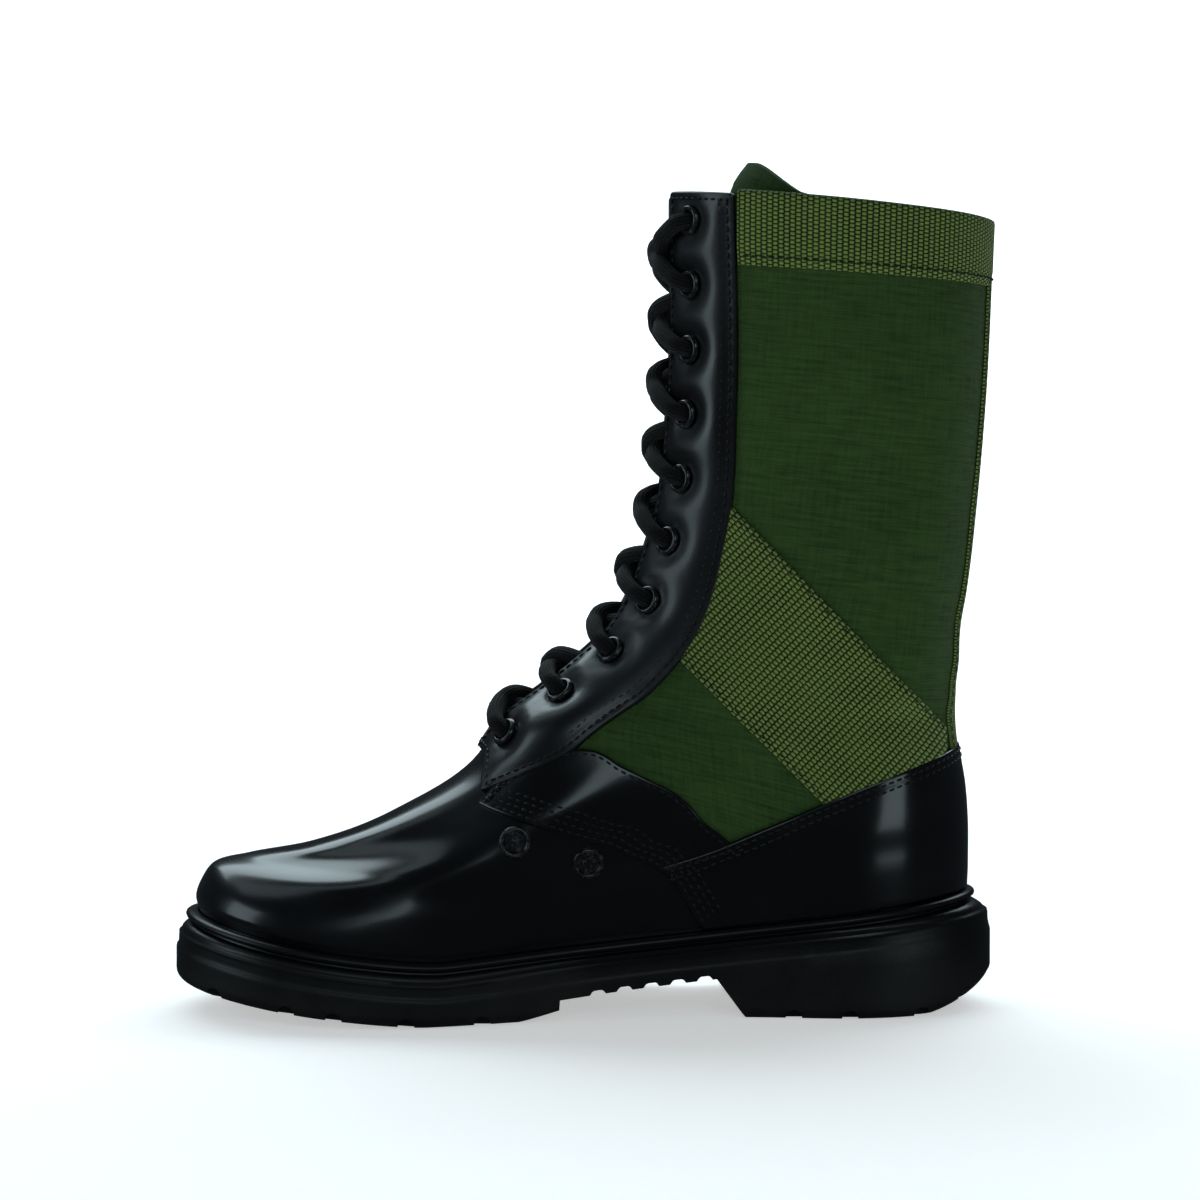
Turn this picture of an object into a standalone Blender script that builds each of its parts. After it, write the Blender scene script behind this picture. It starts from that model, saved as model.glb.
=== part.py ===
"""Right jungle boot: moulded lug sole, hollow upper, leather and webbing overlays, tongue and lacing.

The frame: the toe points along -X, the inner (medial) side faces -Y, +Z is up. The origin is on the
floor under the middle of the heel block. Sizes are in metres.
"""

import math

import bpy
import bmesh
import mathutils.geometry
import numpy as np
from mathutils import Vector

MM = 0.001

# Clearance between pieces that meet
CLEARANCE = 0.3 * MM

# Foot of the upper
UPPER_LENGTH = 279.7 * MM
UPPER_BALL_WIDTH = 99.0 * MM
UPPER_HEEL_WIDTH = 69.0 * MM
UPPER_BACK = 34.2 * MM
THROAT_HEIGHT = 93.0 * MM
WALL = 2.0 * MM

# Leg of the upper
COLLAR_HEIGHT = 294.5 * MM
COLLAR_DROP = 11.5 * MM
COLLAR_FRONT = 73.8 * MM
COLLAR_BACK = 42.3 * MM
COLLAR_WIDTH = 89.0 * MM

# Plan shape: the toe and ball lean to the inner side
BALL_SKEW = 0.025
FORE_STATION = 0.28

# Sole: its rim follows the upper, and the bead stands out from it
BEAD = 4.2 * MM
BALL_X = -155.0 * MM
RIM_AT_BALL = 22.3 * MM
RIM_TOE_RISE = 14.7 * MM
RIM_HEEL_RISE = 20.7 * MM
RIM_DEPTH = 8.0 * MM
SIDE_BAND = 13.0 * MM
PANEL_DEPTH = 0.8 * MM
TOE_SPRING = 10.5 * MM
TOE_ROLL_FROM = -160.0 * MM
HEEL_SPRING = 8.0 * MM
HEEL_ROLL_FROM = 15.0 * MM
BREAST_X = -46.5 * MM
BREAST_SLANT = 10.5 * MM
ARCH_HEIGHT = 14.2 * MM
ARCH_FRONT_HEIGHT = 7.5 * MM
ARCH_FRONT_X = -113.0 * MM
ARCH_STEP = 4.0 * MM
TREAD_FRONT_X = -128.0 * MM
TREAD_CHAMFER = 1.3 * MM
NOTCH_WIDTH = 6.0 * MM
NOTCH_DEPTH = 3.5 * MM
CHANNEL_WIDTH = 7.0 * MM
CHANNEL_DEPTH = 2.8 * MM
INSOLE = 3.2 * MM

# Leather and webbing laid on the upper
OVERLAY_GAP = 0.35 * MM
EYESTAY = 1.5 * MM
QUARTER = 1.2 * MM
COUNTER = 1.2 * MM
BINDING = 1.2 * MM
WEBBING = 1.2 * MM
BACK_STAY = 1.0 * MM
BACK_STAY_WIDTH = 25.0 * MM

# Tongue
TONGUE = 2.0 * MM
TONGUE_WIDTH = 72.0 * MM
TONGUE_RECESS = 19.0 * MM
TONGUE_PEAK = 11.0 * MM

# Eyelets, drain vents and lace
EYELETS = 10
EYELET_INSET = 12.5 * MM
EYELET_FLANGE = 4.8 * MM
EYELET_HOLE = 3.05 * MM
EYELET_BARREL = 3.6 * MM
EYELET_CROWN = 1.0 * MM
VENT_FLANGE = 5.45 * MM
VENT_BARREL = 4.0 * MM
VENT_CROWN = 1.0 * MM
VENT_SEAT = 1.1 * MM
VENT_CENTRE = 0.4 * MM
HOLE_CLEARANCE = 0.4 * MM
LACE = 5.2 * MM

# How each mesh is divided
COLUMNS = 36
ROUND = 8
VENT_SIDES = 10
EDGE_STEP = 12.0 * MM
UPPER_ROWS = (0.0, 1.0, 2.0, 3.0, 4.0, 5.0, 6.0, 7.0, 8.0, 9.0, 10.0, 10.5, 11.0, 11.5, 12.0, 13.0,
              13.65, 14.0)

# Sections of the foot, from the feather edge to the throat. Heights are shares of THROAT_HEIGHT,
# reach and back_in shares of UPPER_LENGTH, toe, ball, waist, toe_y and mid_y shares of half the ball
# width, heel and back shares of half the heel width. dip says how closely a section follows the
# sole's rim.
FOOT_COLUMNS = ("reach", "rise", "back_in", "back_rise", "toe", "ball", "waist", "heel", "back",
                "toe_y", "mid_y", "dip")
FOOT_SECTIONS = {
    "feather": (0.991, 0.315, 0.004, 0.380, 0.70, 0.94, 0.70, 0.92, 0.74, -0.13, 0.06, 1.0),
    "seat":    (0.997, 0.400, 0.001, 0.470, 0.72, 0.98, 0.74, 0.96, 0.76, -0.13, 0.06, 1.0),
    "swell":   (1.000, 0.440, 0.000, 0.538, 0.73, 1.00, 0.77, 0.98, 0.77, -0.13, 0.06, 1.0),
    "wall":    (0.993, 0.500, 0.000, 0.613, 0.67, 0.98, 0.80, 1.00, 0.78, -0.13, 0.06, 0.85),
    "roll":    (0.979, 0.559, 0.000, 0.677, 0.54, 0.93, 0.81, 1.01, 0.78, -0.13, 0.06, 0.7),
    "toe_top": (0.937, 0.595, 0.001, 0.753, 0.37, 0.89, 0.81, 1.01, 0.78, -0.13, 0.05, 0.55),
    "vamp":    (0.855, 0.640, 0.004, 0.860, 0.37, 0.86, 0.81, 1.00, 0.77, -0.13, 0.05, 0.35),
    "ridge":   (0.748, 0.758, 0.010, 0.968, 0.45, 0.83, 0.79, 0.98, 0.75, -0.12, 0.03, 0.15),
    "throat":  (0.630, 1.000, 0.016, 1.108, 0.52, 0.74, 0.74, 0.96, 0.72, -0.10, 0.02, 0.0),
}

# Sections of the leg, from the throat to the collar. front, back, front_rise and back_rise run from 0
# at the throat section to 1 at the collar. The five widths are shares of half the collar width, and
# gap is half the opening between the facings.
LEG_COLUMNS = ("front", "rise", "back", "back_rise", "w_front", "w_fore", "w_mid", "w_rear", "w_back",
               "front_y", "mid_y", "gap")
LEG_SECTIONS = {
    "facing": (0.06, 0.037, -0.02, 0.028, 0.56, 0.775, 0.805, 0.74, 0.55, -0.09, 0.01, 6.0 * MM),
    "instep": (0.33, 0.117, -0.01, 0.089, 0.46, 0.71, 0.79, 0.74, 0.55, -0.06, 0.0, 8.0 * MM),
    "ankle":  (0.67, 0.223, 0.17, 0.200, 0.44, 0.70, 0.81, 0.765, 0.55, -0.03, 0.0, 9.0 * MM),
    "calf":   (0.89, 0.392, 0.45, 0.356, 0.46, 0.75, 0.865, 0.81, 0.55, 0.0, 0.0, 9.0 * MM),
    "shaft":  (0.99, 0.640, 0.79, 0.639, 0.495, 0.82, 0.94, 0.865, 0.56, 0.0, 0.0, 9.5 * MM),
    "collar": (1.00, 1.000, 1.00, 1.000, 0.53, 0.865, 1.00, 0.91, 0.57, 0.0, 0.0, 11.0 * MM),
}

STATIONS = (0.0, 0.08, FORE_STATION, 0.5, 0.75, 0.93, 1.0)

# Edges of the overlays, as around, row, around and row: around is the share of the half girth from the
# front to the back, row the number of a section above, and each line holds a point of one edge and the
# point across from it.
EYESTAY_EDGES = (
    (0.205, 7.42, 0.225, 7.58),
    (0.165, 7.62, 0.275, 7.93),
    (0.095, 7.95, 0.312, 8.60),
    (0.0,   8.25, 0.322, 9.10),
    (0.0,   9.0,  0.338, 9.50),
    (0.0,   9.8,  0.347, 9.95),
    (0.0,  10.5,  0.347, 10.5),
    (0.0,  11.0,  0.338, 11.0),
    (0.0,  11.5,  0.331, 11.5),
    (0.0,  12.2,  0.320, 12.2),
    (0.0,  13.0,  0.306, 13.0),
    (0.0,  14.0,  0.292, 14.0),
)
QUARTER_EDGES = (
    (0.232, 7.22, 0.218, 7.38),
    (0.265, 7.10, 0.262, 7.72),
    (0.300, 6.98, 0.298, 7.98),
    (0.350, 6.70, 0.322, 8.05),
    (0.417, 6.25, 0.360, 7.85),
    (0.475, 5.70, 0.417, 7.60),
    (0.510, 5.20, 0.500, 7.05),
    (0.535, 4.75, 0.556, 6.20),
    (0.549, 4.52, 0.602, 5.35),
)
COUNTER_EDGES = (
    (0.600, 1.0, 0.556, 4.40),
    (0.640, 1.0, 0.611, 5.22),
    (0.700, 1.0, 0.681, 6.22),
    (0.780, 1.0, 0.764, 6.95),
    (0.880, 1.0, 0.875, 7.32),
    (1.000, 1.0, 1.000, 7.48),
)
WEBBING_CORNERS = (
    (0.357, 10.40),
    (0.675, 6.45),
    (0.760, 7.12),
    (0.830, 7.42),
    (0.890, 7.58),
    (0.885, 8.15),
    (0.330, 12.12),
    (0.343, 11.50),
    (0.351, 10.95),
)
BACK_STAY_FROM = 7.62
BACK_STAY_TO = 13.58
BINDING_FROM = 0.300
BINDING_ROW = UPPER_ROWS[-2]

# The tongue from its foot to the collar: how wide and how far behind the facings, as shares of
# TONGUE_WIDTH and TONGUE_RECESS
TONGUE_FROM = 7.5
TONGUE_ROWS = (7.5, 9.0, 10.0, 11.0, 13.0, 14.0)
TONGUE_WIDTHS = (0.70, 0.78, 0.85, 0.90, 0.97, 1.0)
TONGUE_BACK = (0.0, 0.10, 0.22, 0.32, 0.66, 1.0)

# The sole's side, as drop, out and sunk: how far below the rim as a share of SIDE_BAND, how far out as
# a share of BEAD, and whether the row is sunk in the recessed panels
SIDE_ROWS = (
    (0.0,  0.72, 0.0),
    (0.10, 1.0,  0.0),
    (0.20, 0.85, 0.0),
    (0.28, 0.45, 0.0),
    (0.385, 0.8, 0.0),
    (0.52, 0.8,  0.0),
    (0.57, 0.75, 1.0),
    (0.94, 0.80, 1.0),
    (1.0,  0.88, 0.0),
)
# How far the sole's foot flares past the bead, as shares of BEAD by share of the half girth
FLARE_PLACES = (0.0, 0.2, 0.4, 0.55, 0.75, 0.9, 1.0)
FLARES = (1.0, 0.6, 0.4, -0.5, 0.0, 0.9, 1.55)
PANEL_FRONT_TO = 0.42
PANEL_BACK_FROM = 0.70
ARCH_RIBS = 5
ARCH_RIB = 1.5 * MM

# Grooves across the tread and along the forefoot, by their place from the origin
NOTCHES = tuple(x * MM for x in (-235.7, -208.8, -192.0, -166.6, -140.0, -29.5, -9.5, 16.6, 33.5))
CHANNEL_FRONT = (-228.0 * MM, -118.0 * MM)

# Places on the skin, by row, or by around and row
EYELET_FIRST_ROW = 9.0
EYELET_LAST_ROW = 13.86
VENTS = ((0.375, 6.15), (0.486, 5.0))

# A lace from its eyelet, as across, climb and height: across is 0 at the eyelet, 1 at the edge, 2 at
# the middle and 3 at the far edge; climb is in eyelet steps; height is off the skin
CROSSING = (
    (0.0,  0.0,  6.3 * MM),
    (0.45, 0.12, 6.4 * MM),
    (1.0,  0.28, 6.2 * MM),
    (1.6,  0.42, 5.8 * MM),
    (2.0,  0.50, 5.0 * MM),
    (2.2,  0.62, 3.0 * MM),
    (2.3,  0.76, 1.2 * MM),
)
LACE_END = (
    (0.0,  0.0,   6.2 * MM),
    (0.45, -0.12, 6.2 * MM),
    (1.0,  -0.28, 5.4 * MM),
    (1.35, -0.42, 2.5 * MM),
)

FINISHES = {
    "canvas": ((0.045, 0.085, 0.035), 0.9, 0.0),
    "webbing": ((0.11, 0.18, 0.055), 0.85, 0.0),
    "leather": ((0.008, 0.009, 0.012), 0.2, 0.0),
    "rubber": ((0.012, 0.012, 0.013), 0.5, 0.0),
    "insole": ((0.05, 0.05, 0.045), 0.9, 0.0),
    "enamel": ((0.01, 0.01, 0.012), 0.3, 0.4),
    "lace": ((0.006, 0.006, 0.007), 0.8, 0.0),
}


def smooth(knots, values, at):
    """A cubic curve through values at knots, which may hold a row of numbers each."""
    knots = np.asarray(knots, float)
    values = np.asarray(values, float)
    slopes = np.gradient(values, knots, axis=0)
    at = np.clip(np.asarray(at, float), knots[0], knots[-1])
    i = np.clip(np.searchsorted(knots, at, side="right") - 1, 0, len(knots) - 2)
    step = knots[i + 1] - knots[i]
    t = (at - knots[i]) / step
    if values.ndim > 1:
        t, step = t[..., None], step[..., None]
    rise = values[i + 1] - values[i]
    a = slopes[i] * step - rise
    b = rise - slopes[i + 1] * step
    return values[i] + t * rise + t * (1 - t) * (a * (1 - t) + b * t)


def rim_height(x):
    """Height of the sole's rim over the floor at x, from heel through ball to toe."""
    x = np.asarray(x, float)
    toe = np.clip((BALL_X - x) / (BALL_X - (UPPER_BACK - UPPER_LENGTH - BEAD)), 0, 1)
    heel = np.clip((x - BALL_X) / (UPPER_BACK + BEAD - BALL_X), 0, 1)
    return RIM_AT_BALL + RIM_TOE_RISE * toe**1.5 + RIM_HEEL_RISE * heel**1.15


def section_rows():
    """Each section as front x and z, back x and z, five half widths, front y, middle y, dip and gap."""
    rows = []
    ball, heel, collar = UPPER_BALL_WIDTH / 2, UPPER_HEEL_WIDTH / 2, COLLAR_WIDTH / 2
    for name, values in FOOT_SECTIONS.items():
        s = dict(zip(FOOT_COLUMNS, values))
        front_x = UPPER_BACK - s["reach"] * UPPER_LENGTH
        back_x = UPPER_BACK - s["back_in"] * UPPER_LENGTH
        front_z, back_z = s["rise"] * THROAT_HEIGHT, s["back_rise"] * THROAT_HEIGHT
        if name == "feather":
            front_z, back_z = rim_height([front_x, back_x]) - RIM_DEPTH + CLEARANCE
        if name == "seat":
            front_z, back_z = rim_height([front_x, back_x]) + 2 * CLEARANCE
        rows.append((front_x, front_z, back_x, back_z, s["toe"] * ball, s["ball"] * ball,
                     s["waist"] * ball, s["heel"] * heel, s["back"] * heel,
                     s["toe_y"] * ball, s["mid_y"] * ball, s["dip"], 0.0))
    throat_x, throat_z, throat_back_x, throat_back_z = rows[-1][:4]
    for values in LEG_SECTIONS.values():
        s = dict(zip(LEG_COLUMNS, values))
        front_x = throat_x + s["front"] * (-COLLAR_FRONT - throat_x)
        front_z = throat_z + s["rise"] * (COLLAR_HEIGHT - throat_z)
        back_x = throat_back_x + s["back"] * (COLLAR_BACK - throat_back_x)
        back_z = throat_back_z + s["back_rise"] * (COLLAR_HEIGHT - COLLAR_DROP - throat_back_z)
        rows.append((front_x, front_z, back_x, back_z, s["w_front"] * collar, s["w_fore"] * collar,
                     s["w_mid"] * collar, s["w_rear"] * collar, s["w_back"] * collar,
                     s["front_y"] * ball, s["mid_y"] * ball, 0.0, s["gap"]))
    return np.array(rows)


ROWS = section_rows()
ROW_NUMBERS = np.arange(len(ROWS))
ROW_STEPS = np.hypot(*np.diff(ROWS[:, 0:2], axis=0).T) + np.hypot(*np.diff(ROWS[:, 2:4], axis=0).T)
ROW_PLACES = np.concatenate([[0.0], np.cumsum(ROW_STEPS)])
NAMES = list(FOOT_SECTIONS) + list(LEG_SECTIONS)
THROAT_ROW = NAMES.index("throat")
COLLAR_ROW = NAMES.index("collar")


def half_gap(v):
    """Half the throat opening at row v, none below the throat."""
    return np.interp(v, ROW_NUMBERS, ROWS[:, 12])


def skin(turn, v):
    """A point on the upper's outside: turn goes from 0 at the front over the inner side to pi at the
    back and on to 2 pi, v is a row number from 0 at the feather edge."""
    turn, v = np.broadcast_arrays(np.asarray(turn, float), np.asarray(v, float))
    row = smooth(ROW_PLACES, ROWS, np.interp(v, ROW_NUMBERS, ROW_PLACES))
    front_x, front_z, back_x, back_z = (row[..., k] for k in range(4))
    c = (1 - np.cos(turn)) / 2
    x = front_x + (back_x - front_x) * c
    sag = rim_height(front_x) + (rim_height(back_x) - rim_height(front_x)) * c - rim_height(x)
    z = front_z + (back_z - front_z) * c - row[..., 11] * sag
    stations = np.array(STATIONS)
    sines = np.sqrt(1 - (1 - 2 * stations[1:-1]) ** 2)
    rates = row[..., 4:9] / sines
    rates = np.concatenate([rates[..., :1], rates, rates[..., -1:]], axis=-1)
    at = np.clip(c + BALL_SKEW * np.sin(turn), 0, 1)
    slopes = np.gradient(rates, stations, axis=-1)
    i = np.clip(np.searchsorted(stations, at, side="right") - 1, 0, len(stations) - 2)
    step = stations[i + 1] - stations[i]
    t = (at - stations[i]) / step
    take = lambda table, index: np.take_along_axis(table, index[..., None], axis=-1)[..., 0]
    low, high = take(rates, i), take(rates, i + 1)
    rise = high - low
    a = take(slopes, i) * step - rise
    b = rise - take(slopes, i + 1) * step
    rate = low + t * rise + t * (1 - t) * (a * (1 - t) + b * t)
    middle = row[..., 9] * (1 - c) ** 2 + row[..., 10] * 4 * c * (1 - c)
    y = middle - np.sin(turn) * rate
    return np.stack([x, y, z], axis=-1)


def turn_at(v, half_width, end=0.0):
    """The turn on the inner side where row v is half_width off its middle, near end 0 or pi."""
    v, half_width = np.broadcast_arrays(np.asarray(v, float), np.asarray(half_width, float))
    share = np.linspace(0, 1, 121)
    turns = end + (np.pi / 2 - end) * share
    points = skin(np.broadcast_to(turns, v.shape + turns.shape), v[..., None])
    mirrored = skin(np.broadcast_to(-turns, v.shape + turns.shape), v[..., None])
    widths = (mirrored[..., 1] - points[..., 1]) / 2
    flat = [np.interp(h, w, turns) for h, w in zip(half_width.ravel(), widths.reshape(-1, len(share)))]
    return np.array(flat).reshape(v.shape)


def shell(turn, v, offset):
    """A point off the upper's outside along its normal, outward for a positive offset."""
    step = 1e-3
    v = np.asarray(v, float)
    low, high = np.maximum(v - step, 0), np.minimum(v + step, COLLAR_ROW)
    around = skin(turn + step, v) - skin(turn - step, v)
    up = skin(turn, high) - skin(turn, low)
    normal = np.cross(around, up)
    normal /= np.linalg.norm(normal, axis=-1, keepdims=True)
    return skin(turn, v) + normal * np.asarray(offset, float)[..., None]


def grid_faces(rows, columns, start, flip):
    """Triangles of a grid of points numbered from start, cut on the same diagonal throughout."""
    faces = []
    for i in range(rows - 1):
        for j in range(columns - 1):
            a = start + i * columns + j
            b, c, d = a + 1, a + columns, a + columns + 1
            pair = [(a, b, d), (a, d, c)]
            faces += [face[::-1] for face in pair] if flip else pair
    return faces


def band(first, second):
    """Triangles between two runs of point numbers of the same length."""
    faces = []
    for k in range(len(first) - 1):
        faces += [(first[k], first[k + 1], second[k + 1]), (first[k], second[k + 1], second[k])]
    return faces


def add_object(name, points, faces, finish):
    """A closed mesh object with its faces pointing out. It has a material of its own, or it is a
    cutter where finish is None."""
    mesh = bpy.data.meshes.new(name)
    bm = bmesh.new()
    verts = [bm.verts.new(p) for p in points]
    for face in faces:
        bm.faces.new([verts[k] for k in face])
    bmesh.ops.delete(bm, geom=[v for v in bm.verts if not v.link_faces], context="VERTS")
    bmesh.ops.remove_doubles(bm, verts=bm.verts, dist=1e-7)
    bmesh.ops.recalc_face_normals(bm, faces=bm.faces)
    bm.to_mesh(mesh)
    bm.free()
    obj = bpy.data.objects.new(name, mesh)
    bpy.context.scene.collection.objects.link(obj)
    if finish:
        colour, roughness, metallic = FINISHES[finish]
        material = bpy.data.materials.new(name + "_" + finish)
        material.use_nodes = True
        shader = material.node_tree.nodes["Principled BSDF"]
        shader.inputs["Base Color"].default_value = (*colour, 1)
        shader.inputs["Roughness"].default_value = roughness
        shader.inputs["Metallic"].default_value = metallic
        mesh.materials.append(material)
        mesh.shade_smooth()
        mesh.set_sharp_from_angle(angle=math.radians(35))
    else:
        obj.hide_render = True
        obj.display_type = "WIRE"
    return obj


def plate(name, outer, inner, finish):
    """A plate between two grids of points."""
    rows, columns = outer.shape[:2]
    points = np.concatenate([outer.reshape(-1, 3), inner.reshape(-1, 3)])
    count = rows * columns
    faces = grid_faces(rows, columns, 0, False) + grid_faces(rows, columns, count, True)
    index = np.arange(count).reshape(rows, columns)
    for border in (index[0], index[-1], index[:, 0], index[:, -1]):
        faces += band(border, border + count)
    add_object(name, points, faces, finish)


def on_side(outline, side):
    """A loop of (column, row) from (around, row) points on a side, clear of the throat opening."""
    outline = np.array(outline, float)
    row = np.clip(outline[:, 1], 0, COLLAR_ROW)
    opening = turn_at(row, np.maximum(half_gap(row), CLEARANCE))
    turn = np.maximum(outline[:, 0] * np.pi, np.where(half_gap(row) > 0, opening_turn(row), opening))
    column = column_of(turn, row)
    return np.column_stack([COLUMNS - column if side > 0 else column, row])


def side_lines(corners):
    """The outline through (around, row) corners, straight between them as seen from the side."""
    points = []
    for first, last in zip(corners, corners[1:] + corners[:1]):
        ends = [skin(math.pi * around, row)[[0, 2]] for around, row in (first, last)]
        steps = max(1, round(np.linalg.norm(ends[1] - ends[0]) / EDGE_STEP))
        for share in np.arange(steps) / steps:
            goal = ends[0] + (ends[1] - ends[0]) * share
            at = np.array(first) + (np.array(last) - np.array(first)) * share
            for _ in range(30):
                here = skin(math.pi * at[0], at[1])[[0, 2]]
                along = skin(math.pi * (at[0] + 0.005), at[1])[[0, 2]] - here
                up = skin(math.pi * at[0], at[1] + 0.02)[[0, 2]] - here
                move = np.linalg.solve(np.column_stack([along / 0.005, up / 0.02]), goal - here)
                at = at + 0.5 * move
            points.append(tuple(at))
    return points


def strip(name, pairs, side, thickness, finish, holes=(), steps=2, mirrored=False):
    """A panel between two edges, given as (around, row) pairs that face each other."""
    table = np.array(pairs, float)
    knots = np.arange(len(table))
    fine = smooth(knots, table, np.linspace(0, knots[-1], knots[-1] * steps + 1))
    near, far = fine[:, :2], fine[::-1, 2:]
    if mirrored:
        turned_over = lambda edge: np.column_stack([2 - edge[:, 0], edge[:, 1]])[::-1]
        near = np.concatenate([near, turned_over(near[:-1])])
        far = np.concatenate([turned_over(far[1:]), far])
    loop = on_side(np.concatenate([near, far]), side)
    panel(name, loop, holes, OVERLAY_GAP, OVERLAY_GAP + thickness, finish)


def tube(name, route, radius, finish, sides=6, turns=6):
    """A round cord along a smooth curve through the points of route."""
    route = np.array(route)
    knots = np.arange(len(route))
    line = smooth(knots, route, np.linspace(0, knots[-1], turns))
    points, frame = [], None
    for k, place in enumerate(line):
        ahead = Vector(line[min(k + 1, turns - 1)] - line[max(k - 1, 0)]).normalized()
        frame = frame - ahead * frame.dot(ahead) if frame else ahead.orthogonal()
        frame.normalize()
        other = ahead.cross(frame)
        for n in range(sides):
            angle = 2 * math.pi * n / sides
            points.append(Vector(place) + radius * (math.cos(angle) * frame + math.sin(angle) * other))
    faces = []
    for k in range(turns - 1):
        ring = [k * sides + n for n in range(sides)] + [k * sides]
        faces += band(ring, [n + sides for n in ring])
    faces += [tuple(range(sides)), tuple((turns - 1) * sides + n for n in range(sides))]
    return add_object(name, points, faces, finish)


def turned(name, place, normal, profile, finish, sides=ROUND):
    """A ring turned about an axis: profile holds (radius, height) from its foot up the outside."""
    turn = Vector(normal).to_track_quat("Z", "Y").to_matrix()
    points = []
    for n in range(sides):
        angle = 2 * math.pi * (n + 0.5) / sides
        for radius, height in profile:
            at = Vector((radius * math.cos(angle), radius * math.sin(angle), height))
            points.append(Vector(place) + turn @ at)
    count = len(profile)
    faces = []
    for n in range(sides):
        here = [n * count + k for k in range(count)] + [n * count]
        there = [(n + 1) % sides * count + k for k in range(count)] + [(n + 1) % sides * count]
        faces += band(here, there)
    add_object(name, points, faces, finish)


def cut(obj, cutter, operation="DIFFERENCE"):
    """Cuts a cutter out of an object, or joins it on."""
    boolean = obj.modifiers.new(cutter.name, "BOOLEAN")
    boolean.operation = operation
    boolean.object = cutter
    boolean.solver = "EXACT"


def upper_turns(v):
    """The turns of the upper's columns at row v, from one side of the throat opening to the other."""
    opening = turn_at(v, half_gap(v))
    return opening + (2 * np.pi - 2 * opening) * np.linspace(0, 1, COLUMNS + 1)


TURNS = np.array([upper_turns(v) for v in UPPER_ROWS])
CORNERS = skin(TURNS, np.array(UPPER_ROWS)[:, None] + 0 * TURNS)


def ring_turns():
    """The turns of the upper's columns where it is closed at the front."""
    return 2 * np.pi * np.arange(COLUMNS) / COLUMNS


def opening_turn(row):
    """The turn of the throat opening's edge at row, straight between the upper's rows of corners."""
    return np.interp(row, UPPER_ROWS, TURNS[:, 0])


def column_of(turn, row):
    """The column number of a turn at row, 0 at the inner edge of the opening."""
    opening = opening_turn(row)
    return (turn - opening) / (2 * np.pi - 2 * opening) * COLUMNS


def turn_of(column, row):
    opening = opening_turn(row)
    return opening + (2 * np.pi - 2 * opening) * column / COLUMNS


def facet(column, row):
    """A point on the flat faces of the upper, so that what is laid on it clears them."""
    column, row = np.broadcast_arrays(np.asarray(column, float), np.asarray(row, float))
    i = np.clip(np.searchsorted(UPPER_ROWS, row, side="right") - 1, 0, len(UPPER_ROWS) - 2)
    low = np.array(UPPER_ROWS)[i]
    up = ((row - low) / (np.array(UPPER_ROWS)[i + 1] - low))[..., None]
    k = np.clip(np.floor(column).astype(int), 0, COLUMNS - 1)
    along = (column - k)[..., None]
    a, b, c, d = CORNERS[i, k], CORNERS[i, k + 1], CORNERS[i + 1, k], CORNERS[i + 1, k + 1]
    below = a + along * (b - a) + up * (d - b)
    above = a + up * (c - a) + along * (d - c)
    return np.where(along >= up, below, above)


def laid(column, row, offset):
    """A point off the upper's flat faces, along the skin's normal."""
    turn = turn_of(column, row)
    return facet(column, row) + shell(turn, row, offset + 0 * turn) - skin(turn, row)


def inside(points, outline):
    """Whether each point lies in a closed outline."""
    x, y = points[:, 0], points[:, 1]
    result = np.zeros(len(points), bool)
    for (x0, y0), (x1, y1) in zip(outline, np.roll(outline, -1, axis=0)):
        if y0 != y1:
            result ^= ((y0 > y) != (y1 > y)) & (x < x0 + (y - y0) * (x1 - x0) / (y1 - y0))
    return result


def panel(name, outline, holes, low, high, finish, closed_to=0.0):
    """A piece of leather or cloth on the upper: outline and holes are loops of (column, row). Its
    faces break where the upper's do. Below row closed_to, its first and last column meet."""
    outline = np.array(outline, float)
    from_column, from_row = np.floor(outline.min(axis=0) - 1e-6)
    to_column, to_row = np.ceil(outline.max(axis=0) + 1e-6)
    columns = np.arange(max(from_column, 0), min(to_column, COLUMNS) + 1)
    rows = [r for r in UPPER_ROWS if from_row - 1 <= r <= to_row + 1]
    points = [(c, r) for r in rows for c in columns]
    edges = []
    for i in range(len(rows)):
        for k in range(len(columns)):
            at = i * len(columns) + k
            right, up = k + 1 < len(columns), i + 1 < len(rows)
            edges += [(at, at + 1)] if right else []
            edges += [(at, at + len(columns))] if up else []
            edges += [(at, at + len(columns) + 1)] if right and up else []
    for loop in (outline, *holes):
        start = len(points)
        points += [tuple(p) for p in loop]
        edges += [(start + k, start + (k + 1) % len(loop)) for k in range(len(loop))]
    flat = [Vector(p) for p in points]
    verts, _, faces = mathutils.geometry.delaunay_2d_cdt(flat, edges, [], 0, 1e-4)[:3]
    places = np.array([tuple(v) for v in verts])
    corners = np.array([tuple(f) for f in faces])
    middles = places[corners].mean(axis=1)
    keep = inside(middles, outline)
    for loop in holes:
        keep &= ~inside(middles, np.array(loop))
    corners = corners[keep]
    column, row = places[:, 0], np.clip(places[:, 1], 0, COLLAR_ROW)
    count = len(places)
    solid = np.concatenate([laid(column, row, high), laid(column, row, low)])
    faces = [tuple(f) for f in corners] + [tuple(count + f[::-1]) for f in corners]
    edges = {(p, q) for f in corners.tolist() for p, q in zip(f, f[1:] + f[:1])}
    for p, q in sorted(edges):
        if (q, p) in edges:
            continue
        seam = column[p] == column[q] and column[p] in (0, COLUMNS)
        if seam and max(row[p], row[q]) <= closed_to:
            continue
        faces += [(q, p, p + count), (q, p + count, q + count)]
    add_object(name, solid, faces, finish)


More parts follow.
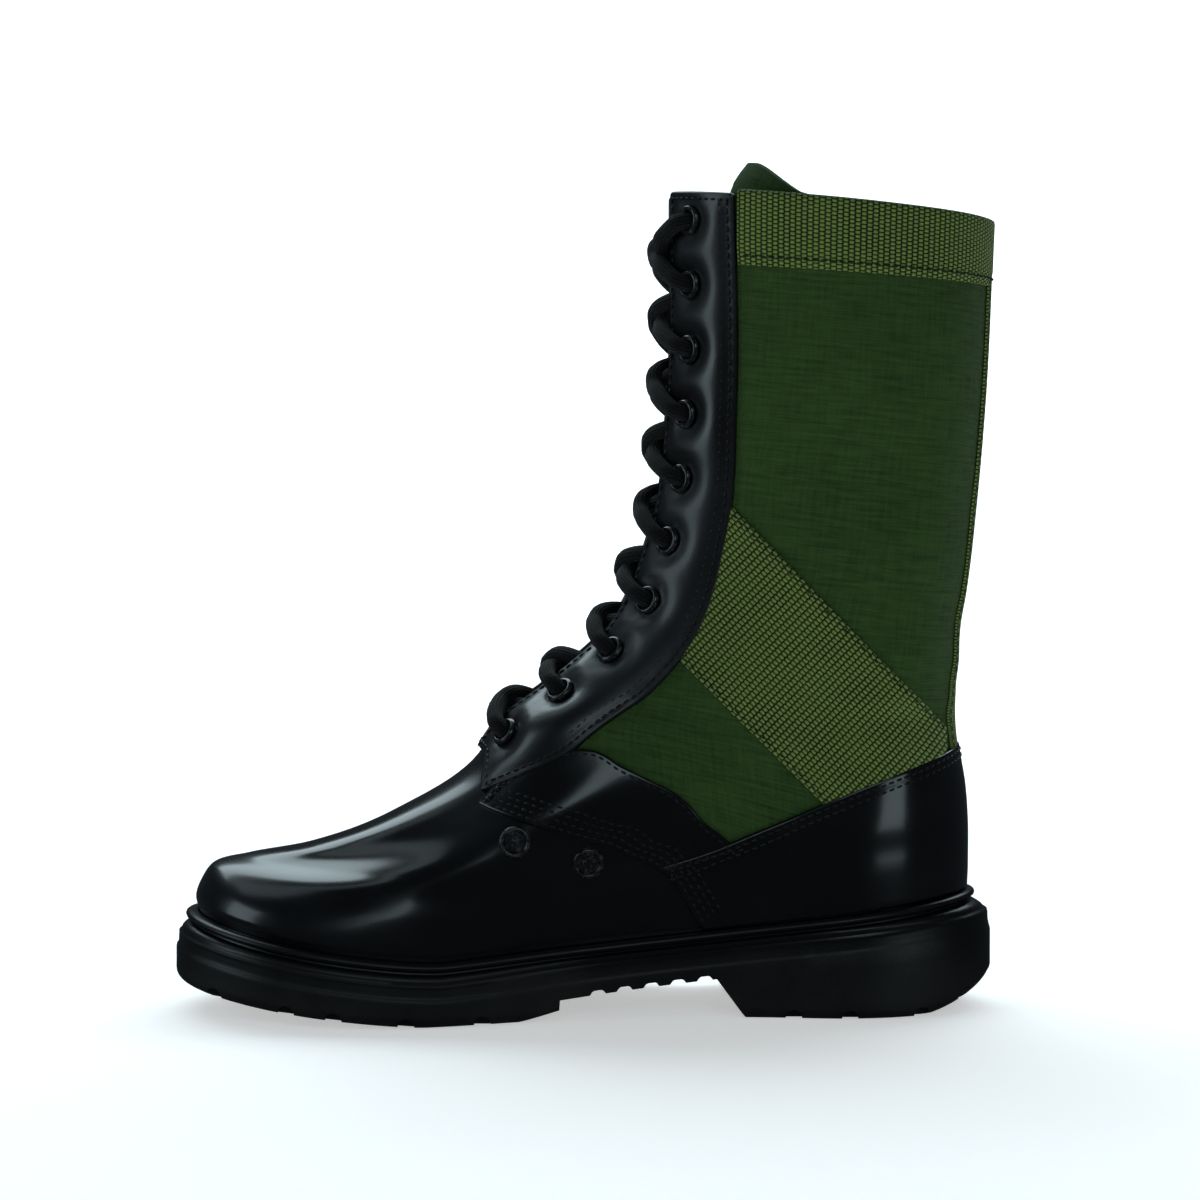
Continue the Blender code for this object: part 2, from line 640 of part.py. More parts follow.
def round_hole(column, row, radius, sides):
    """A round hole about a point of the upper, as a loop of (column, row)."""
    place, normal = point_and_normal(column, row)
    flat = np.array(Vector(normal).to_track_quat("Z", "Y").to_matrix())[:, :2]
    step = 0.02
    loop = []
    for n in range(sides):
        angle = 2 * math.pi * (n + 0.5) / sides
        goal = radius * np.array([math.cos(angle), math.sin(angle)])
        at = np.array([column, row])
        for _ in range(12):
            here = (facet(*at) - place) @ flat
            along = (facet(at[0] + step, at[1]) - facet(at[0] - step, at[1])) @ flat / (2 * step)
            up = (facet(at[0], at[1] + step) - facet(at[0], at[1] - step)) @ flat / (2 * step)
            at = at + 0.7 * np.linalg.solve(np.column_stack([along, up]), goal - here)
        loop.append(tuple(at))
    return loop


def make_upper():
    outline = [(0, 0), (COLUMNS, 0), (COLUMNS, COLLAR_ROW), (0, COLLAR_ROW)]
    hole = EYELET_BARREL + HOLE_CLEARANCE
    holes = [round_hole(c, r, hole, ROUND) for side in (-1, 1) for c, r in eyelet_places(side)]
    holes += [round_hole(c, r, VENT_BARREL + HOLE_CLEARANCE, VENT_SIDES) for c, r in vent_places()]
    panel("upper", outline, holes, -WALL, 0.0, "canvas", closed_to=THROAT_ROW)


def make_counter():
    strip("counter", COUNTER_EDGES, -1, COUNTER, "leather", mirrored=True)


def make_sides():
    """The eyestay, quarter and side webbing of the inner side, then of the outer side."""
    hole = EYELET_BARREL + HOLE_CLEARANCE
    for side, word in ((-1, "inner"), (1, "outer")):
        holes = [round_hole(c, r, hole, ROUND) for c, r in eyelet_places(side)]
        strip("eyestay_" + word, EYESTAY_EDGES, side, EYESTAY, "leather", holes=holes)
        strip("quarter_" + word, QUARTER_EDGES, side, QUARTER, "leather")
        loop = on_side(side_lines(WEBBING_CORNERS), side)
        panel("side_webbing_" + word, loop, (), OVERLAY_GAP, OVERLAY_GAP + WEBBING, "webbing")


def make_back_stay():
    rows = np.array([BACK_STAY_FROM, *(r for r in UPPER_ROWS if BACK_STAY_FROM < r < BACK_STAY_TO),
                     BACK_STAY_TO])
    turn = turn_at(rows, BACK_STAY_WIDTH / 2, math.pi)
    near = np.column_stack([column_of(turn, rows), rows])
    far = np.column_stack([column_of(2 * math.pi - turn, rows), rows])
    outline = np.concatenate([near, far[::-1]])
    panel("back_stay", outline, (), OVERLAY_GAP, OVERLAY_GAP + BACK_STAY, "webbing")


def make_binding():
    """Webbing folded over the collar, from one eyestay round the back to the other."""
    end = BINDING_FROM * np.pi
    outside, inside = OVERLAY_GAP, -WALL - 2 * OVERLAY_GAP
    lift = np.array([0, 0, OVERLAY_GAP])
    top = np.array([0, 0, OVERLAY_GAP + BINDING])
    profile = [(BINDING_ROW, outside + BINDING, 0), (COLLAR_ROW, outside + BINDING, top),
               (COLLAR_ROW, inside - BINDING, top), (BINDING_ROW, inside - BINDING, 0),
               (BINDING_ROW, inside, 0), (COLLAR_ROW, inside, lift), (COLLAR_ROW, outside, lift),
               (BINDING_ROW, outside, 0)]
    loops = []
    first = float(column_of(end, COLLAR_ROW))
    column = np.array([first, *range(math.ceil(first + 0.1), math.floor(COLUMNS - first - 0.1) + 1),
                       COLUMNS - first])
    for row, offset, raised in profile:
        line = laid(column, row + 0 * column, offset)
        loops.append(line + raised)
    grid = np.array(loops).transpose(1, 0, 2)
    count = len(profile)
    stations = len(grid)
    faces = []
    for k in range(stations - 1):
        here = [k * count + n for n in range(count)] + [k * count]
        faces += band(here, [n + count for n in here])
    last = (stations - 1) * count
    half = count // 2
    for start in (0, last):
        faces += band([start + n for n in range(half)], [start + count - 1 - n for n in range(half)])
    add_object("collar_binding", grid.reshape(-1, 3), faces, "webbing")


def make_tongue():
    rows = np.linspace(TONGUE_FROM, COLLAR_ROW, 11)
    share = np.linspace(-1, 1, 7)
    half = TONGUE_WIDTH / 2 * np.interp(rows, TONGUE_ROWS, TONGUE_WIDTHS)
    turn = np.array([turn_at(v + 0 * share, w * np.abs(share)) * -np.sign(share)
                     for v, w in zip(rows, half)])
    v = rows[:, None] + 0 * turn
    recess = TONGUE_RECESS * smooth(TONGUE_ROWS, TONGUE_BACK, rows)
    inward = shell(0 * rows, rows, -1.0 + 0 * rows) - skin(0 * rows, rows)
    inward[:, 1] = 0
    inward /= np.linalg.norm(inward, axis=-1, keepdims=True)
    shift = (recess[:, None] * inward)[:, None, :]
    start = -WALL - 3 * CLEARANCE
    grids = []
    for offset in (start, start - TONGUE):
        grid = shell(turn, v, offset + 0 * turn) + shift
        tip = grid[-1].copy()
        tip[:, 2] += TONGUE_PEAK * (1 - 0.7 * np.abs(share) ** 1.5)
        grids.append(np.concatenate([grid, tip[None]]))
    plate("tongue", grids[0], grids[1], "canvas")


def ladder(ring):
    """Triangles that close a ring of point numbers, from rung to rung between its two sides."""
    half = len(ring) // 2
    left = ring[:half + 1]
    right = [ring[-k % len(ring)] for k in range(half + 1)]
    faces = []
    for k in range(half):
        a, b, c, d = left[k], left[k + 1], right[k + 1], right[k]
        faces += [f for f in ((a, b, c), (a, c, d)) if len(set(f)) == 3]
    return faces


def closed_loft(name, rings, finish):
    """A solid through closed rings of points, with a ladder of faces over its first and last ring."""
    points = np.concatenate(rings)
    count = len(rings[0])
    faces = []
    for k in range(len(rings) - 1):
        here = [k * count + n for n in range(count)] + [k * count]
        faces += band(here, [n + count for n in here])
    faces += ladder(list(range(count)))
    faces += ladder([(len(rings) - 1) * count + n for n in range(count)])
    return add_object(name, points, faces, finish)


def make_insole():
    turn = ring_turns()
    low = shell(turn, 0 * turn, -WALL - CLEARANCE + 0 * turn)
    low[:, 2] = rim_height(low[:, 0]) - RIM_DEPTH + CLEARANCE
    high = low + np.array([0, 0, INSOLE])
    closed_loft("insole", [low, high], "insole")


def tread_height(x):
    """Height of the tread at x before the arch is cut: flat, rolling up at the toe and the heel."""
    x = np.asarray(x, float)
    toe = np.clip((TOE_ROLL_FROM - x) / (TOE_ROLL_FROM - (UPPER_BACK - UPPER_LENGTH - BEAD)), 0, 1.1)
    heel = np.clip((x - HEEL_ROLL_FROM) / (UPPER_BACK + BEAD - HEEL_ROLL_FROM), 0, 1.2)
    return TOE_SPRING * toe**1.3 + HEEL_SPRING * heel**1.6


def prisms(name, outlines, half_width):
    """Closed prisms across the sole, each from an outline of (x, z) points."""
    points, faces = [], []
    for outline in outlines:
        start, count = len(points), len(outline)
        points += [(x, -half_width, z) for x, z in outline]
        points += [(x, half_width, z) for x, z in outline]
        near = [start + k for k in range(count)] + [start]
        faces += band(near, [k + count for k in near])
        faces += [tuple(near[:-1]), tuple(k + count for k in near[:-1])]
    return add_object(name, points, faces, None)


def arch_outline():
    """The hollow under the arch: a slanted heel breast, ribs along the shank and a step to the tread."""
    breast_top = BREAST_X - BREAST_SLANT
    outline = [(BREAST_X, -ARCH_HEIGHT), (BREAST_X, 0.0), (breast_top, ARCH_HEIGHT)]
    for k in range(ARCH_RIBS):
        for share, deep in ((0.15, 0), (0.3, 1), (0.6, 1), (0.75, 0)):
            at = (k + share) / ARCH_RIBS
            x = breast_top + (ARCH_FRONT_X - breast_top) * 0.85 * at
            z = ARCH_HEIGHT + (ARCH_FRONT_HEIGHT - ARCH_HEIGHT) * 0.85 * at
            outline.append((x, z + deep * ARCH_RIB))
    outline += [(ARCH_FRONT_X, ARCH_FRONT_HEIGHT), (ARCH_FRONT_X, ARCH_STEP),
                (TREAD_FRONT_X, 0.0), (TREAD_FRONT_X, -ARCH_HEIGHT)]
    return outline


def notch_outline(x):
    """A round groove across the tread at x."""
    base = float(tread_height(x))
    half = NOTCH_WIDTH / 2
    rise = [(-1.0, -1.0), (-1.0, 0.0), (-0.75, 0.66), (0.0, 1.0), (0.75, 0.66), (1.0, 0.0), (1.0, -1.0)]
    return [(x + half * across, base + NOTCH_DEPTH * up) for across, up in rise]


def channel_outline(start, end):
    """A groove along the tread that follows its roll."""
    xs = np.linspace(start, end, 6)
    top = [(x, float(tread_height(x)) + CHANNEL_DEPTH) for x in xs]
    return top + [(x, float(tread_height(x)) - CHANNEL_DEPTH) for x in xs[::-1]]


def make_outsole():
    turn = ring_turns()
    shelf = shell(turn, 0 * turn, CLEARANCE + 0 * turn)
    shelf[:, 2] = rim_height(shelf[:, 0]) - RIM_DEPTH
    lip = shell(turn, 1 + 0 * turn, CLEARANCE + 0 * turn)
    lip[:, 2] = rim_height(lip[:, 0])
    away = shell(turn, 1 + 0 * turn, 1.0 + 0 * turn) - skin(turn, 1 + 0 * turn)
    away[:, 2] = 0
    away /= np.linalg.norm(away, axis=-1, keepdims=True)
    share = np.minimum(turn, 2 * np.pi - turn) / np.pi
    flare = smooth(FLARE_PLACES, np.array(FLARES), share) * BEAD
    foot = lip + away * (BEAD + flare)[:, None]
    ground = tread_height(foot[:, 0])
    rim = rim_height(lip[:, 0])
    panel = np.clip(4 * np.maximum(PANEL_FRONT_TO - share, share - PANEL_BACK_FROM) + 0.5, 0, 1)
    rings = [shelf, lip]
    for drop, out, sunk in SIDE_ROWS:
        height = rim - drop * SIDE_BAND
        lower = np.clip((drop - 0.55) * SIDE_BAND / (rim - ground - 0.55 * SIDE_BAND), 0, 1)
        reach = BEAD * out + flare * lower - sunk * panel * PANEL_DEPTH
        ring = lip + away * reach[:, None]
        ring[:, 2] = height
        rings.append(ring)
    for inset, up in ((0.0, TREAD_CHAMFER), (TREAD_CHAMFER, 0.0)):
        ring = lip + away * (BEAD * 0.9 + flare - inset)[:, None]
        ring[:, 2] = tread_height(ring[:, 0]) + up
        rings.append(ring)
    outsole = closed_loft("outsole", rings, "rubber")
    wide = UPPER_BALL_WIDTH
    cut(outsole, prisms("arch_cutter", [arch_outline()], wide))
    cut(outsole, prisms("notch_cutter", [notch_outline(x) for x in NOTCHES], wide))
    cut(outsole, prisms("channel_cutter", [channel_outline(*CHANNEL_FRONT)], CHANNEL_WIDTH / 2))


def edge_rows():
    """The rows of the eyelets, at even steps along the edge of the throat opening."""
    rows = np.linspace(EYELET_FIRST_ROW, EYELET_LAST_ROW, 201)
    line = skin(turn_at(rows, half_gap(rows)), rows)
    length = np.concatenate([[0], np.cumsum(np.linalg.norm(np.diff(line, axis=0), axis=1))])
    return lambda level: np.interp(np.asarray(level, float) / (EYELETS - 1) * length[-1], length, rows)


def eyelet_turn(row):
    """The turn of an eyelet on the inner side: EYELET_INSET along the skin from the opening's edge."""
    start = float(opening_turn(row))
    turns = np.linspace(start, start + 1.2, 80)
    line = skin(turns, row + 0 * turns)
    length = np.concatenate([[0], np.cumsum(np.linalg.norm(np.diff(line, axis=0), axis=1))])
    return float(np.interp(EYELET_INSET, length, turns))


def eyelet_places(side):
    """The (column, row) of each eyelet, from the foot up."""
    row_at = edge_rows()
    places = []
    for n in range(EYELETS):
        row = float(row_at(n))
        column = float(column_of(eyelet_turn(row), row))
        places.append((column if side < 0 else COLUMNS - column, row))
    return places


def vent_places():
    """The (column, row) of each drain vent, on the inner side."""
    return [(float(column_of(math.pi * around, row)), row) for around, row in VENTS]


def point_and_normal(column, row):
    """A point on the upper's faces and the skin's outward normal there."""
    place = facet(column, row)
    return place, laid(column, row, 1.0) - place


def make_eyelets():
    base = OVERLAY_GAP + EYESTAY + OVERLAY_GAP
    foot = -WALL - 2 * CLEARANCE
    profile = [(EYELET_HOLE, foot), (EYELET_BARREL, foot), (EYELET_BARREL, base), (EYELET_FLANGE, base),
               (EYELET_HOLE + (EYELET_FLANGE - EYELET_HOLE) / 3, base + EYELET_CROWN)]
    for side, word in ((-1, "inner"), (1, "outer")):
        for n, (column, row) in enumerate(eyelet_places(side)):
            turned(f"eyelet_{word}_{n + 1:02d}", *point_and_normal(column, row), profile, "enamel")


def make_vents():
    """Two screened drain vents on the inner side."""
    top = VENT_SEAT + VENT_CROWN
    screen = VENT_CROWN / 2
    profile = [(VENT_CENTRE, -WALL), (VENT_BARREL, -WALL), (VENT_BARREL, VENT_SEAT),
               (VENT_FLANGE, VENT_SEAT),
               (VENT_BARREL, top), (VENT_BARREL - VENT_CROWN, screen), (VENT_CENTRE, screen)]
    for n, (column, row) in enumerate(vent_places()):
        name = f"drain_vent_{n + 1}"
        turned(name, *point_and_normal(column, row), profile, "enamel", sides=VENT_SIDES)


def lace_route(level, side, row_at, steps):
    """The points of a lace from an eyelet over the facing: steps hold how far towards the middle and
    past it, the climb in eyelet steps, and the height off the skin."""
    route = []
    start = eyelet_turn(float(row_at(level)))
    for across, climb, height in steps:
        row = float(row_at(level + climb))
        edge = float(opening_turn(row))
        if across <= 1:
            turn = start + (edge - start) * across
            route.append(laid(column_of(turn, row), row, height))
            continue
        place, front = skin(edge, row), skin(0.0, row)
        lean = shell(edge, row, 1.0) - place
        front_lean = shell(0.0, row, 1.0) - front
        share = min(across - 1, 1.0)
        lean += (front_lean - lean) * share
        at = place + (front - place) * share + lean / np.linalg.norm(lean) * height
        at[1] += max(across - 2, 0.0) * (front[1] - place[1])
        route.append(at)
    if side > 0:
        middle = skin(0.0, float(row_at(level)))[1]
        route = [np.array([x, 2 * middle - y, z]) for x, y, z in route]
    return route


def make_lace():
    row_at = edge_rows()
    for level in range(EYELETS - 1):
        near = tube(f"lace_crossing_{level + 1}", lace_route(level, -1, row_at, CROSSING), LACE / 2, "lace")
        far = tube(f"lace_far_{level + 1}", lace_route(level, 1, row_at, CROSSING), LACE / 2, None)
        cut(near, far, "UNION")
    for side, word in ((-1, "inner"), (1, "outer")):
        tube("lace_end_" + word, lace_route(EYELETS - 1, side, row_at, LACE_END), LACE / 2, "lace")


def main():
    for obj in list(bpy.data.objects):
        bpy.data.objects.remove(obj)
    make_upper()
    make_outsole()
    make_insole()
    make_tongue()
    make_sides()
    make_counter()
    make_back_stay()
    make_binding()
    make_eyelets()
    make_vents()
    make_lace()


if __name__ == "__main__":
    main()
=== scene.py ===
"""Dresses a right jungle boot: leather foot, canvas and webbing leg, vents, lug sole and lace.

The toe points along -X, the inner side faces -Y, and +Z is up. All sizes are in metres. The boot's
skin is worked out from its sections, and every layer, seam and eyelet is laid on it.
"""

import math

import bmesh
import bpy
import numpy as np
from bpy.props import FloatProperty, FloatVectorProperty, PointerProperty
from mathutils import Matrix, Vector
from mathutils.geometry import delaunay_2d_cdt


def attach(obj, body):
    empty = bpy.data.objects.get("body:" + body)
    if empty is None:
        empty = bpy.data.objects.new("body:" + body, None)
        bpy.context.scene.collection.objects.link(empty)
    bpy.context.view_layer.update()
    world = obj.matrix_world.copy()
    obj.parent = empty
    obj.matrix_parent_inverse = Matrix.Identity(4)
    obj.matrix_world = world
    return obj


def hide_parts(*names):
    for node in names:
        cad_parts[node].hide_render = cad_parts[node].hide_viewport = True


bl_info = {
    "name": "Jungle boot",
    "version": (1, 0, 0),
    "blender": (4, 5, 0),
    "location": "3D View > Sidebar > Boot",
    "description": "Dresses a jungle boot in leather, canvas, webbing, rubber and lace",
    "category": "Add Mesh",
}

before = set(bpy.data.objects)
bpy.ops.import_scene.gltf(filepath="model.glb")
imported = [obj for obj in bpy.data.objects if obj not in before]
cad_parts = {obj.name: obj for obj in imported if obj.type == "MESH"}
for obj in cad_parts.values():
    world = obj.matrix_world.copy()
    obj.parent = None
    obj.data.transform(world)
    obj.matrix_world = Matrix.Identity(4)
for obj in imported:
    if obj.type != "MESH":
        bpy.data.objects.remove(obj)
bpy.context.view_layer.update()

MM = 0.001

# The boot's form, as in its solids
LENGTH = 279.7 * MM
BALL_WIDTH = 99.0 * MM
HEEL_WIDTH = 69.0 * MM
BACK = 34.2 * MM
THROAT_HEIGHT = 93.0 * MM
WALL = 2.0 * MM
COLLAR_HEIGHT = 294.5 * MM
COLLAR_DROP = 11.5 * MM
COLLAR_FRONT = 73.8 * MM
COLLAR_BACK = 42.3 * MM
COLLAR_WIDTH = 89.0 * MM
BALL_SKEW = 0.025
STATIONS = np.array((0.0, 0.08, 0.28, 0.5, 0.75, 0.93, 1.0))

BEAD = 4.2 * MM
BALL_X = -155.0 * MM
RIM_AT_BALL = 22.3 * MM
RIM_TOE_RISE = 14.7 * MM
RIM_HEEL_RISE = 20.7 * MM
RIM_DEPTH = 8.0 * MM
SIDE_BAND = 13.0 * MM
TOE_SPRING = 10.5 * MM
TOE_ROLL_FROM = -160.0 * MM
HEEL_SPRING = 8.0 * MM
HEEL_ROLL_FROM = 15.0 * MM
BREAST_X = -46.5 * MM
BREAST_SLANT = 10.5 * MM
ARCH_HEIGHT = 14.2 * MM
ARCH_FRONT_HEIGHT = 7.5 * MM
ARCH_FRONT_X = -113.0 * MM
ARCH_STEP = 4.0 * MM
TREAD_FRONT_X = -128.0 * MM
ARCH_RIBS = 5
ARCH_RIB = 1.5 * MM
NOTCH_WIDTH = 6.0 * MM
NOTCH_DEPTH = 3.5 * MM
NOTCHES = tuple(x * MM for x in (-235.7, -208.8, -192.0, -166.6, -140.0, -29.5, -9.5, 16.6, 33.5))
CHANNEL_WIDTH = 7.0 * MM
CHANNEL_DEPTH = 2.8 * MM
CHANNEL = (-228.0 * MM, -118.0 * MM)
FLARE_PLACES = (0.0, 0.2, 0.4, 0.55, 0.75, 0.9, 1.0)
FLARES = (1.0, 0.6, 0.4, -0.5, 0.0, 0.9, 1.55)
CLEARANCE = 0.3 * MM
INSOLE = 3.2 * MM

# reach, rise, back in, back rise, five half widths, toe and middle y, dip
FOOT_SECTIONS = (
    (0.991, 0.315, 0.004, 0.380, 0.70, 0.94, 0.70, 0.92, 0.74, -0.13, 0.06, 1.0),
    (0.997, 0.400, 0.001, 0.470, 0.72, 0.98, 0.74, 0.96, 0.76, -0.13, 0.06, 1.0),
    (1.000, 0.440, 0.000, 0.538, 0.73, 1.00, 0.77, 0.98, 0.77, -0.13, 0.06, 1.0),
    (0.993, 0.500, 0.000, 0.613, 0.67, 0.98, 0.80, 1.00, 0.78, -0.13, 0.06, 0.85),
    (0.979, 0.559, 0.000, 0.677, 0.54, 0.93, 0.81, 1.01, 0.78, -0.13, 0.06, 0.7),
    (0.937, 0.595, 0.001, 0.753, 0.37, 0.89, 0.81, 1.01, 0.78, -0.13, 0.05, 0.55),
    (0.855, 0.640, 0.004, 0.860, 0.37, 0.86, 0.81, 1.00, 0.77, -0.13, 0.05, 0.35),
    (0.748, 0.758, 0.010, 0.968, 0.45, 0.83, 0.79, 0.98, 0.75, -0.12, 0.03, 0.15),
    (0.630, 1.000, 0.016, 1.108, 0.52, 0.74, 0.74, 0.96, 0.72, -0.10, 0.02, 0.0),
)
# front, rise, back, back rise, five half widths, front and middle y, half the throat's gap
LEG_SECTIONS = (
    (0.06, 0.037, -0.02, 0.028, 0.56, 0.775, 0.805, 0.74, 0.55, -0.09, 0.01, 6.0 * MM),
    (0.33, 0.117, -0.01, 0.089, 0.46, 0.71, 0.79, 0.74, 0.55, -0.06, 0.0, 8.0 * MM),
    (0.67, 0.223, 0.17, 0.200, 0.44, 0.70, 0.81, 0.765, 0.55, -0.03, 0.0, 9.0 * MM),
    (0.89, 0.392, 0.45, 0.356, 0.46, 0.75, 0.865, 0.81, 0.55, 0.0, 0.0, 9.0 * MM),
    (0.99, 0.640, 0.79, 0.639, 0.495, 0.82, 0.94, 0.865, 0.56, 0.0, 0.0, 9.5 * MM),
    (1.00, 1.000, 1.00, 1.000, 0.53, 0.865, 1.00, 0.91, 0.57, 0.0, 0.0, 11.0 * MM),
)
THROAT_ROW, COLLAR_ROW = 8, 14

# Edges of the layers, each as around, row, around and row of two facing points. Around is the share
# of the half girth from the front to the back, row the number of a section.
EYESTAY_EDGES = (
    (0.205, 7.42, 0.225, 7.58), (0.165, 7.62, 0.275, 7.93), (0.095, 7.95, 0.312, 8.60),
    (0.0, 8.25, 0.322, 9.10), (0.0, 9.0, 0.338, 9.50), (0.0, 9.8, 0.347, 9.95),
    (0.0, 10.5, 0.347, 10.5), (0.0, 11.0, 0.338, 11.0), (0.0, 11.5, 0.331, 11.5),
    (0.0, 12.2, 0.320, 12.2), (0.0, 13.0, 0.306, 13.0), (0.0, 14.0, 0.292, 14.0),
)
QUARTER_EDGES = (
    (0.232, 7.22, 0.205, 7.55), (0.265, 7.10, 0.240, 7.90), (0.300, 6.98, 0.280, 8.22),
    (0.350, 6.70, 0.318, 8.20), (0.417, 6.25, 0.360, 7.88), (0.475, 5.70, 0.417, 7.60),
    (0.510, 5.20, 0.500, 7.05), (0.535, 4.75, 0.556, 6.20), (0.549, 4.52, 0.606, 5.20),
    (0.560, 4.10, 0.625, 4.60),
)
COUNTER_EDGES = (
    (0.600, 1.0, 0.556, 4.40), (0.640, 1.0, 0.611, 5.22), (0.700, 1.0, 0.681, 6.22),
    (0.780, 1.0, 0.764, 6.95), (0.880, 1.0, 0.875, 7.32), (1.000, 1.0, 1.000, 7.48),
)
WEBBING_CORNERS = ((0.343, 10.52), (0.685, 6.22), (0.760, 6.75), (0.830, 7.10), (0.890, 7.30),
                   (0.895, 8.05), (0.314, 12.24), (0.328, 11.55), (0.336, 11.00))
BACK_STAY_ROWS = (7.35, 13.72)
BACK_STAY_WIDTH = 25.0 * MM
BINDING_ROW = 13.65
BINDING_FROM = 0.300
# The lowest leather of the foot ends under the layers, along this line of (around, row)
VAMP_LINE = ((0.0, 8.30), (0.095, 8.30), (0.165, 7.85), (0.22, 7.50), (0.25, 7.45), (0.30, 7.50),
             (0.34, 7.40), (0.39, 7.0), (0.445, 6.70), (0.505, 6.10), (0.545, 5.50), (0.575, 4.95),
             (0.60, 4.60), (0.65, 3.50), (1.0, 3.50))

# The layers' height off the upper and their thickness
LAYER_GAP = 0.35 * MM
EYESTAY = 1.7 * MM
QUARTER = 1.2 * MM
COUNTER = 1.5 * MM
WEBBING = 1.2 * MM
BACK_STAY = 1.0 * MM
# How far inside the eyestay's edge its first seam runs
EYESTAY_SEAM = 2.6 * MM

SIDES = ((-1, "inner"), (1, "outer"))
EYELET_COUNT = 10
EYELET_INSET = 12.5 * MM
EYELET_ROWS = (9.0, 13.86)
VENT_PLACES = ((0.375, 6.15), (0.486, 5.0))

TONGUE_ROWS = (7.5, 9.0, 10.0, 11.0, 13.0, 14.0)
TONGUE_WIDTHS = (0.70, 0.78, 0.85, 0.90, 0.97, 1.0)
TONGUE_BACK = (0.0, 0.10, 0.22, 0.32, 0.66, 1.0)
TONGUE_WIDTH = 72.0 * MM
TONGUE_RECESS = 19.0 * MM
TONGUE_PEAK = 11.0 * MM
TONGUE = 2.0 * MM

# Soft troughs (negative) and swellings of the upper: side (-1 inner, 1 outer, 0 both), around and
# row of one end, around and row of the other, half width and depth in millimetres
CREASES = (
    (0, 0.00, 6.60, 0.20, 6.10, 12.0, -0.12), (0, 0.00, 7.30, 0.16, 6.85, 10.0, 0.12),
    (-1, 0.36, 9.55, 0.62, 8.55, 6.0, -0.70), (-1, 0.38, 9.15, 0.60, 8.05, 5.0, 0.50),
    (-1, 0.66, 9.05, 0.93, 8.75, 5.0, -0.70), (-1, 0.70, 9.55, 0.94, 9.35, 6.0, 0.60),
    (-1, 0.45, 12.7, 0.86, 12.25, 11.0, -0.60), (-1, 0.44, 13.2, 0.80, 12.9, 10.0, 0.40),
    (-1, 0.74, 11.4, 0.95, 11.0, 7.0, -0.70), (-1, 0.72, 10.6, 0.95, 10.3, 7.0, 0.70),
    (1, 0.37, 9.60, 0.64, 8.60, 6.0, -0.80), (1, 0.40, 9.10, 0.60, 8.00, 5.0, 0.50),
    (1, 0.64, 9.10, 0.93, 8.70, 5.0, -0.80), (1, 0.70, 9.65, 0.94, 9.30, 6.0, 0.60),
    (1, 0.45, 12.6, 0.84, 12.4, 11.0, -0.60), (1, 0.72, 11.3, 0.95, 11.05, 7.0, -0.80),
    (1, 0.70, 10.5, 0.95, 10.4, 7.0, 0.60), (0, 0.52, 7.6, 0.74, 7.3, 6.0, -0.35),
)


def cubic(low, high, slopes, step, t):
    """A cubic from low to high with a slope at each end, read at the share t of its step."""
    rise = high - low
    a = slopes[0] * step - rise
    b = rise - slopes[1] * step
    return low + t * rise + t * (1 - t) * (a * (1 - t) + b * t)


def smooth(knots, values, at):
    """A cubic curve through values at knots, which may hold a row of numbers each."""
    knots, values = np.asarray(knots, float), np.asarray(values, float)
    slopes = np.gradient(values, knots, axis=0)
    at = np.clip(np.asarray(at, float), knots[0], knots[-1])
    i = np.clip(np.searchsorted(knots, at, side="right") - 1, 0, len(knots) - 2)
    step = knots[i + 1] - knots[i]
    t = (at - knots[i]) / step
    if values.ndim > 1:
        t, step = t[..., None], step[..., None]
    return cubic(values[i], values[i + 1], (slopes[i], slopes[i + 1]), step, t)


def rim_height(x):
    """Height of the sole's rim over the floor at x."""
    x = np.asarray(x, float)
    toe = np.clip((BALL_X - x) / (BALL_X - (BACK - LENGTH - BEAD)), 0, 1)
    heel = np.clip((x - BALL_X) / (BACK + BEAD - BALL_X), 0, 1)
    return RIM_AT_BALL + RIM_TOE_RISE * toe**1.5 + RIM_HEEL_RISE * heel**1.15


def section_rows():
    """Each section as front x and z, back x and z, five half widths, two y's, dip and half gap."""
    rows = []
    ball, heel, collar = BALL_WIDTH / 2, HEEL_WIDTH / 2, COLLAR_WIDTH / 2
    for n, (reach, rise, back_in, back_rise, *w, toe_y, mid_y, dip) in enumerate(FOOT_SECTIONS):
        ends = np.array([BACK - reach * LENGTH, BACK - back_in * LENGTH])
        heights = np.array([rise, back_rise]) * THROAT_HEIGHT
        # the two lowest sections follow the sole's rim
        if n < 2:
            heights = rim_height(ends) + (2 * CLEARANCE if n else CLEARANCE - RIM_DEPTH)
        widths = [w[0] * ball, w[1] * ball, w[2] * ball, w[3] * heel, w[4] * heel]
        rows.append((ends[0], heights[0], ends[1], heights[1], *widths,
                     toe_y * ball, mid_y * ball, dip, 0.0))
    fx, fz, bx, bz = rows[-1][:4]
    for front, rise, back, back_rise, *w, front_y, mid_y, gap in LEG_SECTIONS:
        rows.append((fx + front * (-COLLAR_FRONT - fx), fz + rise * (COLLAR_HEIGHT - fz),
                     bx + back * (COLLAR_BACK - bx),
                     bz + back_rise * (COLLAR_HEIGHT - COLLAR_DROP - bz),
                     *(v * collar for v in w), front_y * ball, mid_y * ball, 0.0, gap))
    return np.array(rows)


ROWS = section_rows()
ROW_NUMBERS = np.arange(len(ROWS))
ROW_STEPS = (np.hypot(*np.diff(ROWS[:, 0:2], axis=0).T)
             + np.hypot(*np.diff(ROWS[:, 2:4], axis=0).T))
ROW_PLACES = np.concatenate([[0.0], np.cumsum(ROW_STEPS)])


def half_gap(v):
    """Half the throat's gap at a row."""
    return np.interp(v, ROW_NUMBERS, ROWS[:, 12])


